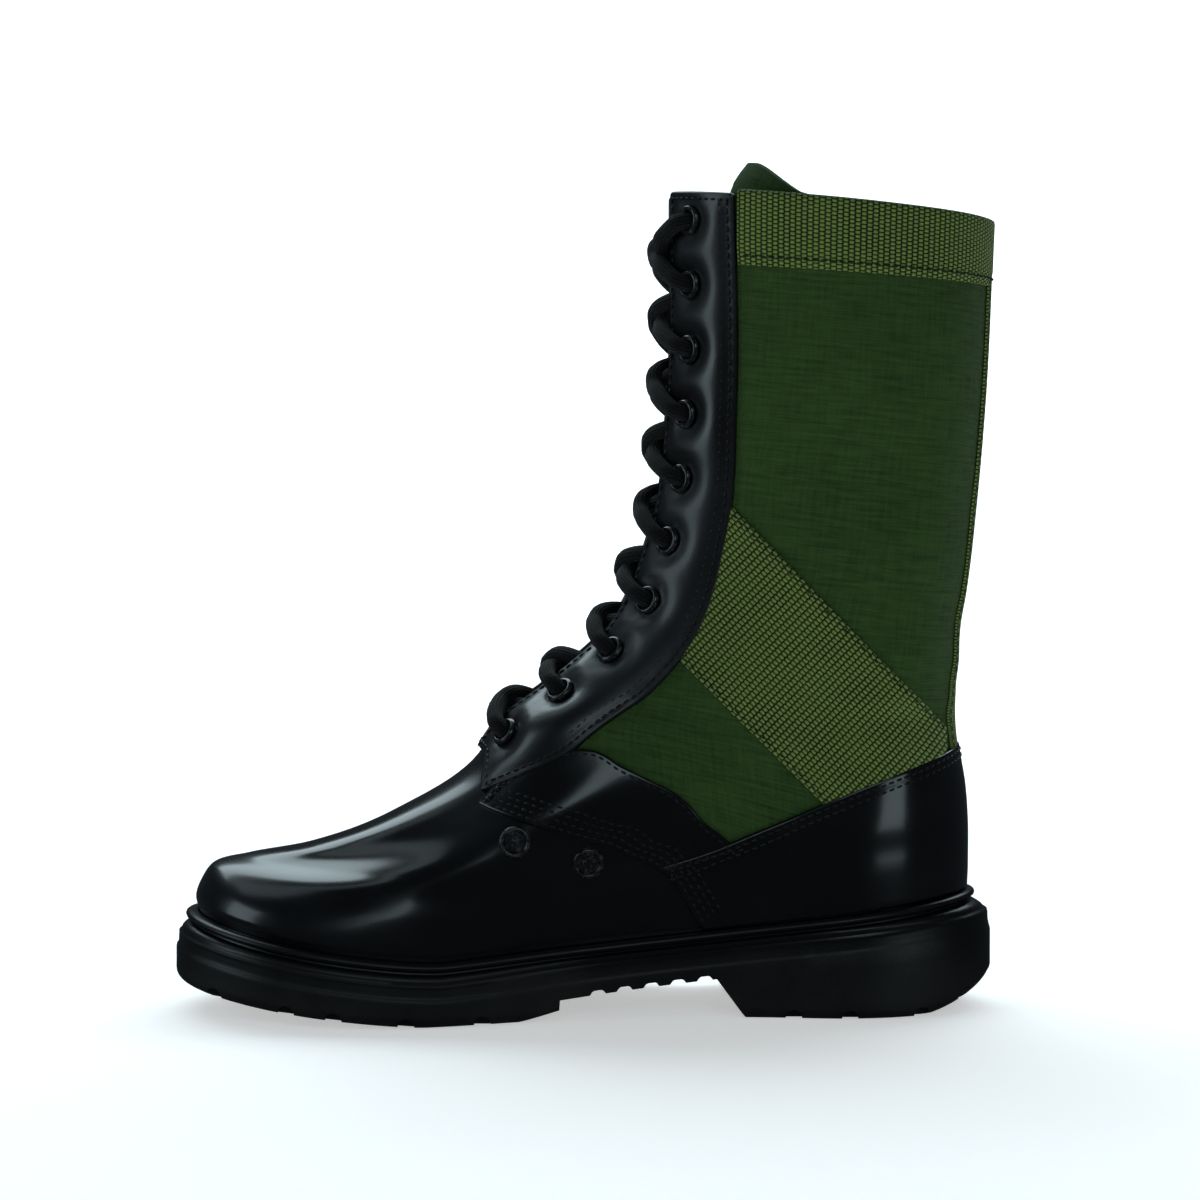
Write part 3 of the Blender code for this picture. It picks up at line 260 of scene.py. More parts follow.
def skin(turn, v):
    """A point on the upper's outside. Turn goes from 0 at the front over the inner side to pi at
    the back, and v is a section number from 0 at the feather edge."""
    turn, v = np.broadcast_arrays(np.asarray(turn, float), np.asarray(v, float))
    row = smooth(ROW_PLACES, ROWS, np.interp(v, ROW_NUMBERS, ROW_PLACES))
    front_x, front_z, back_x, back_z = (row[..., k] for k in range(4))
    c = (1 - np.cos(turn)) / 2
    x = front_x + (back_x - front_x) * c
    sag = rim_height(front_x) + (rim_height(back_x) - rim_height(front_x)) * c - rim_height(x)
    z = front_z + (back_z - front_z) * c - row[..., 11] * sag
    rates = row[..., 4:9] / np.sqrt(1 - (1 - 2 * STATIONS[1:-1]) ** 2)
    rates = np.concatenate([rates[..., :1], rates, rates[..., -1:]], axis=-1)
    at = np.clip(c + BALL_SKEW * np.sin(turn), 0, 1)
    slopes = np.gradient(rates, STATIONS, axis=-1)
    i = np.clip(np.searchsorted(STATIONS, at, side="right") - 1, 0, len(STATIONS) - 2)
    step = STATIONS[i + 1] - STATIONS[i]
    t = (at - STATIONS[i]) / step

    def take(table, index):
        return np.take_along_axis(table, index[..., None], axis=-1)[..., 0]

    ends = take(slopes, i), take(slopes, i + 1)
    rate = cubic(take(rates, i), take(rates, i + 1), ends, step, t)
    middle = row[..., 9] * (1 - c) ** 2 + row[..., 10] * 4 * c * (1 - c)
    return np.stack([x, middle - np.sin(turn) * rate, z], axis=-1)


def half_width(turn, v):
    """Half the boot's width between a turn and the one opposite it."""
    return (skin(-turn, v)[..., 1] - skin(turn, v)[..., 1]) / 2


def normal(turn, v):
    """The skin's outward normal."""
    step = 1e-3
    v = np.asarray(v, float)
    around = skin(turn + step, v) - skin(turn - step, v)
    up = skin(turn, np.minimum(v + step, COLLAR_ROW)) - skin(turn, np.maximum(v - step, 0))
    n = np.cross(around, up)
    return n / np.linalg.norm(n, axis=-1, keepdims=True)


def gap_between(points, start, end):
    """How far each point is from the line from start to end."""
    line = end - start
    share = np.clip((points - start) @ line / (line @ line), 0, 1)
    return np.linalg.norm(points - start - share[..., None] * line, axis=-1)


def crease_lines():
    """Each crease as its side, its three points on the skin, its width and its depth."""
    lines = []
    for side, around, row, around_to, row_to, width, depth in CREASES:
        arounds = np.linspace(around, around_to, 3) * math.pi
        rows = np.linspace(row, row_to, 3)
        if side <= 0:
            lines.append((-1, skin(arounds, rows), width * MM, depth * MM))
        if side >= 0:
            lines.append((1, skin(2 * math.pi - arounds, rows), width * MM, depth * MM))
    return lines


CREASE_LINES = crease_lines()


def relief(turn, points):
    """How far the worn-in creases push the skin out at each point."""
    inner = np.sin(turn) >= 0
    height = np.zeros(points.shape[:-1])
    for side, (start, middle, end), width, depth in CREASE_LINES:
        away = np.minimum(gap_between(points, start, middle), gap_between(points, middle, end))
        height += np.where(inner == (side < 0), depth, 0) * np.exp(-(away / width) ** 2)
    return height


def ground(turn, v, offset=0.0):
    """A point off the dressed skin, with its creases, and the outward normal there."""
    turn, v = np.broadcast_arrays(np.asarray(turn, float), np.asarray(v, float))
    points, out = skin(turn, v), normal(turn, v)
    raised = relief(turn, points) + offset
    return points + out * raised[..., None], out


def lengths_along(line):
    """How far along a line through points each of them is."""
    return np.concatenate([[0], np.cumsum(np.linalg.norm(np.diff(line, axis=0), axis=1))])


class Chart:
    """The skin rolled out flat, in metres. x runs along a section from the front, or from the back
    of the boot where from_back is set, and y runs up it."""

    stations, levels = 241, 141

    def __init__(self, from_back=False):
        self.from_back = from_back
        self.arounds = np.linspace(0, 1, self.stations)
        self.rows = np.linspace(0, COLLAR_ROW, self.levels)
        grid = skin(np.pi * self.arounds[None], self.rows[:, None])
        steps = np.linalg.norm(np.diff(grid, axis=1), axis=-1)
        self.arcs = np.pad(np.cumsum(steps, axis=1), ((0, 0), (1, 0)))
        if from_back:
            self.arcs = self.arcs - self.arcs[:, -1:]
        self.heights = np.interp(self.rows, ROW_NUMBERS, ROW_PLACES) / 2

    def flat(self, points):
        """Chart points of (around, row) points."""
        points = np.asarray(points, float)
        over = points[:, 0] > 1
        around = np.where(over, 2 - points[:, 0], points[:, 0])
        at = np.clip(points[:, 1] / COLLAR_ROW, 0, 1) * (len(self.rows) - 1)
        i = np.clip(at.astype(int), 0, len(self.rows) - 2)
        f = at - i
        across = around * (len(self.arounds) - 1)
        k = np.clip(np.floor(across).astype(int), 0, len(self.arounds) - 2)
        g = across - k
        low = self.arcs[i, k] * (1 - g) + self.arcs[i, k + 1] * g
        high = self.arcs[i + 1, k] * (1 - g) + self.arcs[i + 1, k + 1] * g
        x = low * (1 - f) + high * f
        y = np.interp(points[:, 1], self.rows, self.heights)
        return np.column_stack([np.where(over, -x, x), y])

    def turns(self, points, side):
        """The turn and row of chart points, on the inner (-1) or outer (1) side."""
        x, y = points[:, 0], points[:, 1]
        over = (x > 0) & self.from_back
        x = np.where(over, -x, x)
        row = np.interp(y, self.heights, self.rows)
        at = row / COLLAR_ROW * (len(self.rows) - 1)
        i = np.clip(at.astype(int), 0, len(self.rows) - 2)
        f = at - i
        around = np.zeros(len(x))
        for k in np.unique(i):
            here = i == k
            low = np.interp(x[here], self.arcs[k], self.arounds)
            high = np.interp(x[here], self.arcs[k + 1], self.arounds)
            around[here] = low * (1 - f[here]) + high * f[here]
        turn = math.pi * np.where(over, 2 - around, around)
        return (turn if side < 0 else 2 * math.pi - turn), row


FRONT_CHART, BACK_CHART = Chart(), Chart(from_back=True)


def dense(loop, step, closed=True):
    """A polyline with points no more than step apart."""
    loop = np.asarray(loop, float)
    ends = np.roll(loop, -1, axis=0) if closed else loop[1:]
    points = []
    for a, b in zip(loop, ends):
        count = max(1, math.ceil(np.linalg.norm(b - a) / step))
        points.append(a + (b - a) * (np.arange(count) / count)[:, None])
    if not closed:
        points.append(loop[-1:])
    return np.concatenate(points)


def rounded(loop, step, radius):
    """A closed loop with its corners rounded."""
    even = dense(loop, step)
    reach = max(1, round(radius / step))
    return sum(np.roll(even, k, axis=0) for k in range(-reach, reach + 1)) / (2 * reach + 1)


def eased(line, reach=9 * MM):
    """An open line of chart points with its wobbles averaged out and its ends kept."""
    step = 0.8 * MM
    line = dense(line, step, closed=False)
    span = min(round(reach / step), len(line) - 1)
    before = 2 * line[0] - line[span:0:-1]
    after = 2 * line[-1] - line[-2:-span - 2:-1]
    sums = np.cumsum(np.vstack([line[:1] * 0, before, line, after]), axis=0)
    return (sums[2 * span + 1:] - sums[:-2 * span - 1]) / (2 * span + 1)


def inset(loop, chart, side, depth, closed=True):
    """A line of chart points moved depth to the left along the boot's surface."""
    ahead = np.roll(loop, -1, axis=0) - np.roll(loop, 1, axis=0)
    if not closed:
        ahead = np.gradient(loop, axis=0)
    ahead /= np.linalg.norm(ahead, axis=1, keepdims=True) + 1e-12
    left = np.column_stack([-ahead[:, 1], ahead[:, 0]])
    step = 0.5 * MM
    here = skin(*chart.turns(loop, side))
    along = skin(*chart.turns(loop + ahead * step, side)) - here
    away = skin(*chart.turns(loop + left * step, side)) - here
    along /= np.linalg.norm(along, axis=1, keepdims=True) + 1e-12
    away -= (away * along).sum(axis=1)[:, None] * along
    rate = np.linalg.norm(away, axis=1) / step
    return loop + left * (depth / np.clip(rate, 0.4, 2.5))[:, None]


def within(points, loop):
    """Whether each chart point lies in a closed loop."""
    x, y = points[:, 0], points[:, 1]
    result = np.zeros(len(points), bool)
    for (x0, y0), (x1, y1) in zip(loop, np.roll(loop, -1, axis=0)):
        if y0 != y1:
            result ^= ((y0 > y) != (y1 > y)) & (x < x0 + (y - y0) * (x1 - x0) / (y1 - y0))
    return result


def reach_to(points, line):
    """How far each point in space is from a line through points in space."""
    best = np.full(len(points), 1e9)
    for a, b in zip(line[:-1], line[1:]):
        near = np.abs(points - a).max(axis=1) < 20 * MM
        if near.any():
            best[near] = np.minimum(best[near], gap_between(points[near], a, b))
    return best


def add_mesh(name, points, faces, uv=None, material=None, smooth_angle=50):
    """A mesh object with a UV point for each vertex."""
    mesh = bpy.data.meshes.new(name)
    mesh.from_pydata([tuple(p) for p in points], [], [tuple(f) for f in faces])
    if uv is not None:
        layer = mesh.uv_layers.new(name="Cloth")
        index = np.zeros(len(mesh.loops), int)
        mesh.loops.foreach_get("vertex_index", index)
        layer.data.foreach_set("uv", np.asarray(uv, float)[index].ravel())
    bm = bmesh.new()
    bm.from_mesh(mesh)
    bmesh.ops.delete(bm, geom=[v for v in bm.verts if not v.link_faces], context="VERTS")
    bmesh.ops.recalc_face_normals(bm, faces=bm.faces)
    bm.to_mesh(mesh)
    bm.free()
    mesh.shade_smooth()
    mesh.set_sharp_from_angle(angle=math.radians(smooth_angle))
    obj = bpy.data.objects.new(name, mesh)
    bpy.context.scene.collection.objects.link(obj)
    if material:
        mesh.materials.append(material)
    return obj


def band_faces(rings, count, start=0):
    """The faces between closed rings of count points each, from the point start on."""
    faces = []
    for k in range(rings - 1):
        for n in range(count):
            a, b = start + k * count + n, start + k * count + (n + 1) % count
            faces.append((a, b, b + count, a + count))
    return faces


def tube_faces(rings, count, start=0):
    """The faces between closed rings, and those that close the first and the last of them."""
    last = start + (rings - 1) * count
    ends = [tuple(range(start, start + count))[::-1], tuple(range(last, last + count))]
    return band_faces(rings, count, start) + ends


def sheet_faces(index):
    """The faces of a grid of points and, turned over, those of the second grid that follows it."""
    faces = []
    for start in (0, index.size):
        for low, high in zip(index[:-1] + start, index[1:] + start):
            quads = zip(low, low[1:], high[1:], high)
            faces += [q[::-1] for q in quads] if start else list(quads)
    return faces


def wall_faces(line, step):
    """The faces from a line of points to the same line step points on."""
    return [(q, p, p + step, q + step) for p, q in zip(line[:-1], line[1:])]


def settle(obj, slot, *nodes):
    """Hangs a piece on the boot in place of the solids that it stands for."""
    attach(obj, "root")
    if nodes:
        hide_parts(*nodes)
    return obj


class Layer:
    """A piece of leather or cloth laid on the boot, from its outline in chart points."""

    def __init__(self, name, outline, side, thickness, chart=FRONT_CHART, holes=(),
                 corner=2.0 * MM, roll=0.9 * MM, spacing=2.2 * MM, swell=None):
        self.name, self.side, self.chart, self.holes = name, side, chart, holes
        loop = rounded(outline, 0.8 * MM, corner)
        if np.cross(loop, np.roll(loop, -1, axis=0)).sum() < 0:
            loop = loop[::-1]
        self.loop = loop
        flat, corners = self.fill(roll, spacing)
        place, out = ground(*chart.turns(flat, side))
        edge = self.edge_distance(place)
        lean = np.clip(edge / roll, 0, 1)
        height = LAYER_GAP + thickness * (0.35 + 0.65 * np.sqrt(1 - (1 - lean) ** 2))
        if swell is not None:
            height = height + swell(place, edge)
        top = place + out * height[:, None]
        bottom = place + out * LAYER_GAP
        count = len(flat)
        sides = {(p, q) for f in corners.tolist() for p, q in zip(f, f[1:] + f[:1])}
        walls = []
        for p, q in sorted(sides):
            if (q, p) not in sides:
                walls += [(q, p, p + count), (q, p + count, q + count)]
        self.points = np.concatenate([top, bottom])
        self.faces = [tuple(f) for f in corners] + [tuple(f[::-1] + count) for f in corners] + walls
        self.uv = np.concatenate([flat, flat])

    def fill(self, roll, spacing):
        """Chart points over the layer, closer near its edges, and the triangles between them."""
        loop, chart, side = self.loop, self.chart, self.side
        rings = [inset(loop, chart, side, roll * share) for share in (0.25, 0.6, 1.1)]
        dots = [loop, *self.holes] + rings
        for hole in self.holes:
            dots += [inset(hole[::-1], chart, side, roll * share) for share in (0.3, 0.8)]
        low, high = loop.min(axis=0), loop.max(axis=0)
        xs = np.arange(low[0], high[0], spacing)
        ys = np.arange(low[1], high[1], spacing)
        grid = np.array([(x + (n % 2) * spacing / 2, y) for n, y in enumerate(ys) for x in xs])
        grid = grid[within(grid, loop)]
        for hole in self.holes:
            grid = grid[np.linalg.norm(grid - hole.mean(axis=0), axis=1) > 5.5 * MM]
        far = np.linalg.norm(grid[:, None] - loop[None, ::2], axis=2).min(axis=1)
        dots.append(grid[far > roll * 1.1 + spacing * 0.4])
        points, edges = [], []
        for n, dot in enumerate(dots):
            start = len(points)
            points += [tuple(p) for p in dot]
            if n < 1 + len(self.holes):
                edges += [(start + k, start + (k + 1) % len(dot)) for k in range(len(dot))]
        verts, _, faces = delaunay_2d_cdt([Vector(p) for p in points], edges, [], 0, 1e-7)[:3]
        flat = np.array([tuple(v) for v in verts])
        corners = np.array([tuple(f) for f in faces])
        middles = flat[corners].mean(axis=1)
        keep = within(middles, loop)
        for hole in self.holes:
            keep &= ~within(middles, hole)
        return flat, corners[keep]

    def edge_distance(self, place):
        """How far each point in space is from the layer's nearest edge."""
        rims = [ground(*self.chart.turns(np.vstack([loop, loop[:1]]), self.side))[0]
                for loop in (self.loop, *self.holes)]
        return np.min([reach_to(place, rim) for rim in rims], axis=0)

    def build(self, material, along=None):
        """The layer as an object. Its cloth runs along a line of two points, seen from the side."""
        uv = self.uv
        if along is not None:
            ahead = (along[1] - along[0])[[0, 2]]
            ahead /= np.linalg.norm(ahead)
            flat = self.points[:, [0, 2]] - along[0][[0, 2]]
            uv = flat @ np.column_stack([ahead, (-ahead[1], ahead[0])])
        return add_mesh(self.name, self.points, self.faces, uv, material, smooth_angle=60)

    def seam(self, depth, start=None, end=None):
        """The chart line depth inside the edge, with the layer on its left. It runs from the point
        nearest start to the one nearest end, both (around, row), or all the way round."""
        line = inset(self.loop, self.chart, self.side, depth)
        if start is None:
            return np.vstack([line, line[:1]])
        first, last = (np.linalg.norm(self.loop - self.chart.flat([p]), axis=1).argmin()
                       for p in (start, end))
        count = (last - first) % len(line) + 1
        return np.roll(line, -first, axis=0)[:count]


def stitches(line, chart, side, height, length, pitch, thread):
    """The points and faces of stitches along a chart line, height off the skin."""
    place, out = ground(*chart.turns(line, side), height)
    steps = lengths_along(place)
    count = int(steps[-1] // pitch)
    if count < 1:
        return np.zeros((0, 3)), []

    def at(values, where):
        return np.stack([np.interp(where, steps, values[:, k]) for k in range(3)], axis=-1)

    points, faces = [], []
    sides = 6
    # share of the length, share of the thread's width, and rise
    profile = ((-0.5, 0.15, -0.45), (-0.36, 0.75, 0.1), (0.0, 1.0, 0.25), (0.36, 0.75, 0.1),
               (0.5, 0.15, -0.45))
    for middle in (np.arange(count) + 0.5) * steps[-1] / count:
        ahead = at(place, middle + length / 2) - at(place, middle - length / 2)
        ahead /= np.linalg.norm(ahead)
        up = at(out, middle)
        up /= np.linalg.norm(up)
        across = np.cross(ahead, up)
        faces += tube_faces(len(profile), sides, len(points))
        for share, wide, rise in profile:
            centre = at(place, middle + share * length) + up * rise * thread / 2
            for angle in 2 * math.pi * np.arange(sides) / sides:
                around = math.cos(angle) * across + math.sin(angle) * up
                points.append(centre + thread / 2 * wide * around)
    return np.array(points), faces


def sew(name, seams, material, length, pitch, thread):
    """One object of stitches along seams, each a chart line, chart, side and height."""
    points, faces = [], []
    for line, chart, side, height in seams:
        more, loops = stitches(line, chart, side, height, length, pitch, thread)
        start = sum(len(p) for p in points)
        points.append(more)
        faces += [tuple(start + k for k in f) for f in loops]
    return add_mesh(name, np.concatenate(points), faces, None, material, smooth_angle=80)


def cord(name, route, radius, material, sides=14, rings=90):
    """A round cord along a smooth curve through a route's points, a little thinner at its ends."""
    route = np.array(route)
    steps = lengths_along(route)
    line = smooth(steps, route, np.linspace(0, steps[-1], rings))
    far = lengths_along(line)
    taper, thinnest = 7 * MM, 0.84
    points, uv, side_on = [], [], None
    for k, place in enumerate(line):
        ahead = Vector(line[min(k + 1, rings - 1)] - line[max(k - 1, 0)]).normalized()
        side_on = side_on - ahead * side_on.dot(ahead) if side_on else ahead.orthogonal()
        side_on.normalize()
        other = ahead.cross(side_on)
        share = min(1.0, min(far[k], far[-1] - far[k]) / taper)
        size = radius * (thinnest + (1 - thinnest) * math.sin(share * math.pi / 2))
        for n in range(sides):
            angle = 2 * math.pi * n / sides
            out = math.cos(angle) * side_on + math.sin(angle) * other
            points.append(Vector(place) + size * out)
            uv.append((n / sides, far[k]))
    obj = add_mesh(name, points, tube_faces(rings, sides), uv, material, smooth_angle=70)
    # the faces that close the round take the UV on past 1, not back to 0
    layer = obj.data.uv_layers["Cloth"].data
    for face in obj.data.polygons:
        around = [layer[k].uv[0] for k in face.loop_indices]
        if max(around) - min(around) > 0.5 and len(around) == 4:
            for k in face.loop_indices:
                if layer[k].uv[0] < 0.5:
                    layer[k].uv[0] += 1.0
    return obj


def deselect():
    """Leaves nothing selected."""
    for obj in bpy.context.selected_objects:
        obj.select_set(False)


def carve(obj, cutter):
    """Cuts one object out of another, which is left selected, and removes it."""
    deselect()
    bpy.context.view_layer.objects.active = obj
    obj.select_set(True)
    boolean = obj.modifiers.new("Cut", "BOOLEAN")
    boolean.object = cutter
    bpy.ops.object.modifier_apply(modifier=boolean.name)
    bpy.data.objects.remove(cutter)


def dome(wide, narrow, low, rise):
    """A half round from a wide to a narrow radius, as (radius, height), without its first point."""
    middle, half = (wide + narrow) / 2, (wide - narrow) / 2
    return [(middle + half * math.cos(a), low + rise * math.sin(a))
            for a in np.linspace(0, math.pi, 9)[1:]]


def turned_ring(name, profile, segments):
    """A closed ring, modelled from a circle whose edge is extruded to each (radius, height)."""
    deselect()
    radius, height = profile[0]
    bpy.ops.mesh.primitive_circle_add(vertices=segments, radius=radius, location=(0, 0, height))
    ring = bpy.context.object
    ring.name = name
    bpy.ops.object.transform_apply(location=True)
    bpy.ops.object.mode_set(mode="EDIT")
    bpy.ops.mesh.select_all(action="SELECT")
    steps = list(profile) + [profile[0]]
    for (radius, height), (wider, higher) in zip(steps, steps[1:]):
        scale = wider / radius
        bpy.ops.mesh.extrude_region_move(TRANSFORM_OT_translate={"value": (0, 0, higher - height)})
        bpy.ops.transform.resize(value=(scale, scale, 1), center_override=(0, 0, higher))
    bpy.ops.mesh.select_all(action="SELECT")
    bpy.ops.mesh.remove_doubles(threshold=1e-6)
    bpy.ops.mesh.normals_make_consistent(inside=False)
    bpy.ops.object.mode_set(mode="OBJECT")
    bpy.ops.object.shade_smooth_by_angle(angle=math.radians(40))
    return ring


def copied(source, name, place, out):
    """A copy of a small part with its own mesh, stood on the boot at place and facing out."""
    mesh = source.data.copy()
    mesh.name = name
    turn = Vector(out).to_track_quat("Z", "Y").to_matrix().to_4x4()
    mesh.transform(Matrix.Translation(Vector(place)) @ turn)
    obj = bpy.data.objects.new(name, mesh)
    bpy.context.scene.collection.objects.link(obj)
    return obj


class Value:
    """A number or colour in a shader. Sums on it add the nodes that work them out."""

    def __init__(self, finish, socket):
        self.finish, self.socket = finish, socket

    def sum(self, operation, *others):
        """The result of a Math node on this number and others."""
        inputs = dict(enumerate((self, *others)))
        node = self.finish.node("ShaderNodeMath", {"operation": operation}, inputs)
        return Value(self.finish, node.outputs[0])

    def __add__(self, other):
        return self.sum("ADD", other)

    __radd__ = __add__

    def __mul__(self, other):
        return self.sum("MULTIPLY", other)

    def __sub__(self, other):
        return self.sum("SUBTRACT", other)

    def __rsub__(self, other):
        return (self * -1.0).sum("ADD", other)

    def __truediv__(self, other):
        return self.sum("DIVIDE", other)

    def __abs__(self):
        return self.sum("ABSOLUTE")

    def sine(self):
        return self.sum("SINE")

    def ramp(self, low, high, to_low=0.0, to_high=1.0):
        """This number carried smoothly from low..high to to_low..to_high."""
        node = self.finish.node("ShaderNodeMapRange", {"interpolation_type": "SMOOTHSTEP"}, {
            "Value": self, "From Min": low, "From Max": high, "To Min": to_low, "To Max": to_high})
        return Value(self.finish, node.outputs[0])


class Finish:
    """A material as it is put together round its Principled shader."""

    def __init__(self, name, colour, roughness, **constants):
        self.material = bpy.data.materials.new(name)
        self.material.use_nodes = True
        self.tree = self.material.node_tree
        self.shader = self.tree.nodes["Principled BSDF"]
        self.shader.inputs["Base Color"].default_value = (*colour, 1)
        self.shader.inputs["Roughness"].default_value = roughness
        for key, value in constants.items():
            socket = key.replace("_", " ").title().replace("Ior", "IOR")
            self.shader.inputs[socket].default_value = value
        self.material.diffuse_color = (*colour, 1)

    def node(self, kind, settings=None, inputs=None):
        """A node of a kind, with its settings, then the values or links of its inputs."""
        node = self.tree.nodes.new(kind)
        for key, value in (settings or {}).items():
            setattr(node, key, value)
        for key, value in (inputs or {}).items():
            if isinstance(value, Value):
                self.tree.links.new(value.socket, node.inputs[key])
            else:
                node.inputs[key].default_value = value
        return node

    def place(self):
        """The point in the object's space."""
        return Value(self, self.node("ShaderNodeTexCoord").outputs["Object"])

    def cloth(self):
        """The two numbers of the piece's UV map, in metres."""
        uv = self.node("ShaderNodeUVMap", {"uv_map": "Cloth"})
        parts = self.node("ShaderNodeSeparateXYZ", None, {0: Value(self, uv.outputs[0])})
        return Value(self, parts.outputs[0]), Value(self, parts.outputs[1])

    def noise(self, scale, detail=3.0, roughness=0.5, at=None):
        """Smooth noise from 0 to 1 with scale lumps a metre."""
        node = self.node("ShaderNodeTexNoise", None, {
            "Vector": at or self.place(), "Scale": scale, "Detail": detail, "Roughness": roughness})
        return Value(self, node.outputs["Fac"])

    def streaks(self, u, v, along, across):
        """Noise drawn out into streaks, with its lumps to a metre each way of the cloth."""
        node = self.node("ShaderNodeCombineXYZ", None, {0: u * along, 1: v * across})
        return self.noise(1.0, 2.0, 0.6, Value(self, node.outputs[0]))

    def cells(self, scale):
        """The distance to the nearest of scattered points, scale of them a metre."""
        node = self.node("ShaderNodeTexVoronoi", None, {"Vector": self.place(), "Scale": scale})
        return Value(self, node.outputs["Distance"])

    def mix(self, share, first, second):
        """A colour between two colours."""
        node = self.node("ShaderNodeMix", {"data_type": "RGBA"}, {
            0: share, 6: (*first, 1), 7: (*second, 1)})
        return Value(self, node.outputs[2])

    def bump(self, height, depth, strength=1.0):
        """Relief of a depth in metres for a height of 0 to 1."""
        before = self.shader.inputs["Normal"].links
        more = {"Normal": Value(self, before[0].from_socket)} if before else {}
        node = self.node("ShaderNodeBump", None, {
            "Height": height, "Distance": depth, "Strength": strength, **more})
        self.tree.links.new(node.outputs[0], self.shader.inputs["Normal"])

    def feed(self, socket, value):
        """Lets a value drive a socket of the shader."""
        self.tree.links.new(value.socket, self.shader.inputs[socket])


def scaled(colour, share, more=0.0):
    """A colour made darker or lighter."""
    return tuple(c * share + more for c in colour)


def sizes():
    """The sizes and colours set in the sidebar."""
    return bpy.context.scene.jungle_boot


def leather(name, roughness, coat, grain, shine):
    """Black leather: a faint pebble, long soft ripples and a finish that is duller in places."""
    dark = tuple(sizes().leather_colour)
    finish = Finish(name, dark, roughness, coat_weight=coat, coat_roughness=0.14,
                    specular_ior_level=shine)
    blotches = finish.noise(22.0, 4.0)
    fine = finish.noise(900.0, 4.0, 0.6)
    finish.feed("Base Color", finish.mix(blotches.ramp(0.35, 0.75), dark, scaled(dark, 1.7, 0.0006)))
    dull = blotches.ramp(0.3, 0.7, roughness * 0.85, roughness * 1.2)
    finish.feed("Roughness", dull + (fine - 0.5) * 0.06)
    pebble = finish.cells(850.0).ramp(0.0, 0.75)
    finish.bump(pebble * 0.6 + fine * 0.4, grain)
    finish.bump(finish.noise(30.0, 1.0), 0.25 * MM, 0.5)
    return finish.material


def canvas(name, colour):
    """Fine plain-woven canvas."""
    finish = Finish(name, colour, 0.92, sheen_weight=0.03, specular_ior_level=0.12)
    u, v = finish.cloth()
    pitch = sizes().canvas_thread
    warp, weft = (u * (math.pi / pitch)).sine(), (v * (math.pi / pitch)).sine()
    over = (warp * weft).ramp(-0.4, 0.4)
    threads = abs(warp) * over + abs(weft) * (1 - over)
    slub = finish.streaks(u, v, 60.0, 900.0) * 1.3 + finish.streaks(u, v, 900.0, 60.0) * 0.7
    patch = finish.noise(16.0, 1.0)
    # The threads' height also darkens the colour between the threads, which is painted shade; the
    # slubs and patches are random tone.
    tone_and_shade = threads * 0.3 + slub * 0.46 + patch * 0.2
    dark, light = scaled(colour, 0.35), scaled(colour, 1.9)
    finish.feed("Base Color", finish.mix(tone_and_shade.ramp(0.35, 0.95), dark, light))
    finish.bump(threads * 0.6 + slub * 0.2, 0.2 * MM)
    return finish.material


def webbing(name, colour, rib, knot):
    """Coarse webbing: rows of knots, a rib wide and a knot apart, each row half a knot on."""
    finish = Finish(name, colour, 0.85, sheen_weight=0.04, specular_ior_level=0.15)
    u, v = finish.cloth()
    ribs = u / rib
    turn = ribs.sum("FLOOR") * 0.5
    hump = abs((ribs * math.pi).sine())
    beads = abs(((v / knot + turn) * math.pi).sine())
    fuzz = finish.noise(1500.0, 3.0, 0.7)
    height = hump.ramp(0.0, 0.9, 0.15, 1.0) * beads.ramp(0.0, 0.9, 0.15, 1.0)
    # The knots' height also sets the colour: the gaps between the knots are painted shade, nearly
    # black, while the fuzz and the broad noise are random tone.
    tone_and_shade = height * 0.95 + fuzz * 0.25 + finish.noise(60.0, 2.0) * 0.2
    dark, light = scaled(colour, 0.04), scaled(colour, 1.5)
    finish.feed("Base Color", finish.mix(tone_and_shade.ramp(0.25, 1.0), dark, light))
    finish.bump(height + fuzz * 0.1, 0.7 * MM)
    return finish.material


def rubber(name):
    """Moulded rubber, duller and browner towards the floor, with a fine moulded skin."""
    dark = tuple(sizes().rubber_colour)
    finish = Finish(name, dark, 0.42, specular_ior_level=0.45)
    parts = finish.node("ShaderNodeSeparateXYZ", None, {0: finish.place()})
    up = Value(finish, parts.outputs[2])
    low = up.ramp(0.002, 0.03, 1.0, 0.0)
    smear = finish.noise(35.0, 4.0)
    # Lighter, browner blotches near the floor.
    lower_tint = low * smear.ramp(0.3, 0.75)
    finish.feed("Base Color", finish.mix(lower_tint * 0.7, dark, (0.010, 0.009, 0.008)))
    finish.feed("Roughness", smear.ramp(0.3, 0.7, 0.28, 0.40) + low * 0.22)
    finish.bump(finish.noise(1300.0, 3.0, 0.6), 0.05 * MM)
    finish.bump(finish.noise(70.0, 3.0), 0.18 * MM, 0.6)
    return finish.material


def lace_cord(name):
    """Tubular braided lace with ribs along it."""
    finish = Finish(name, (0.002, 0.002, 0.0025), 0.8, sheen_weight=0.05, specular_ior_level=0.2)
    u, v = finish.cloth()
    ribs_round, ribs_per_metre = 16, 900.0
    ribs = abs((u * (math.pi * ribs_round)).sine())
    plait = abs(((v * ribs_per_metre + u * ribs_round) * math.pi).sine())
    height = ribs.ramp(0.0, 0.8) * (0.7 + plait * 0.3)
    # The colour follows the ribs' height: the grooves between the ribs are painted shade.
    dark, light = (0.0006, 0.0006, 0.0008), (0.0042, 0.0042, 0.0048)
    finish.feed("Base Color", finish.mix(height, dark, light))
    finish.bump(height, 0.3 * MM)
    return finish.material


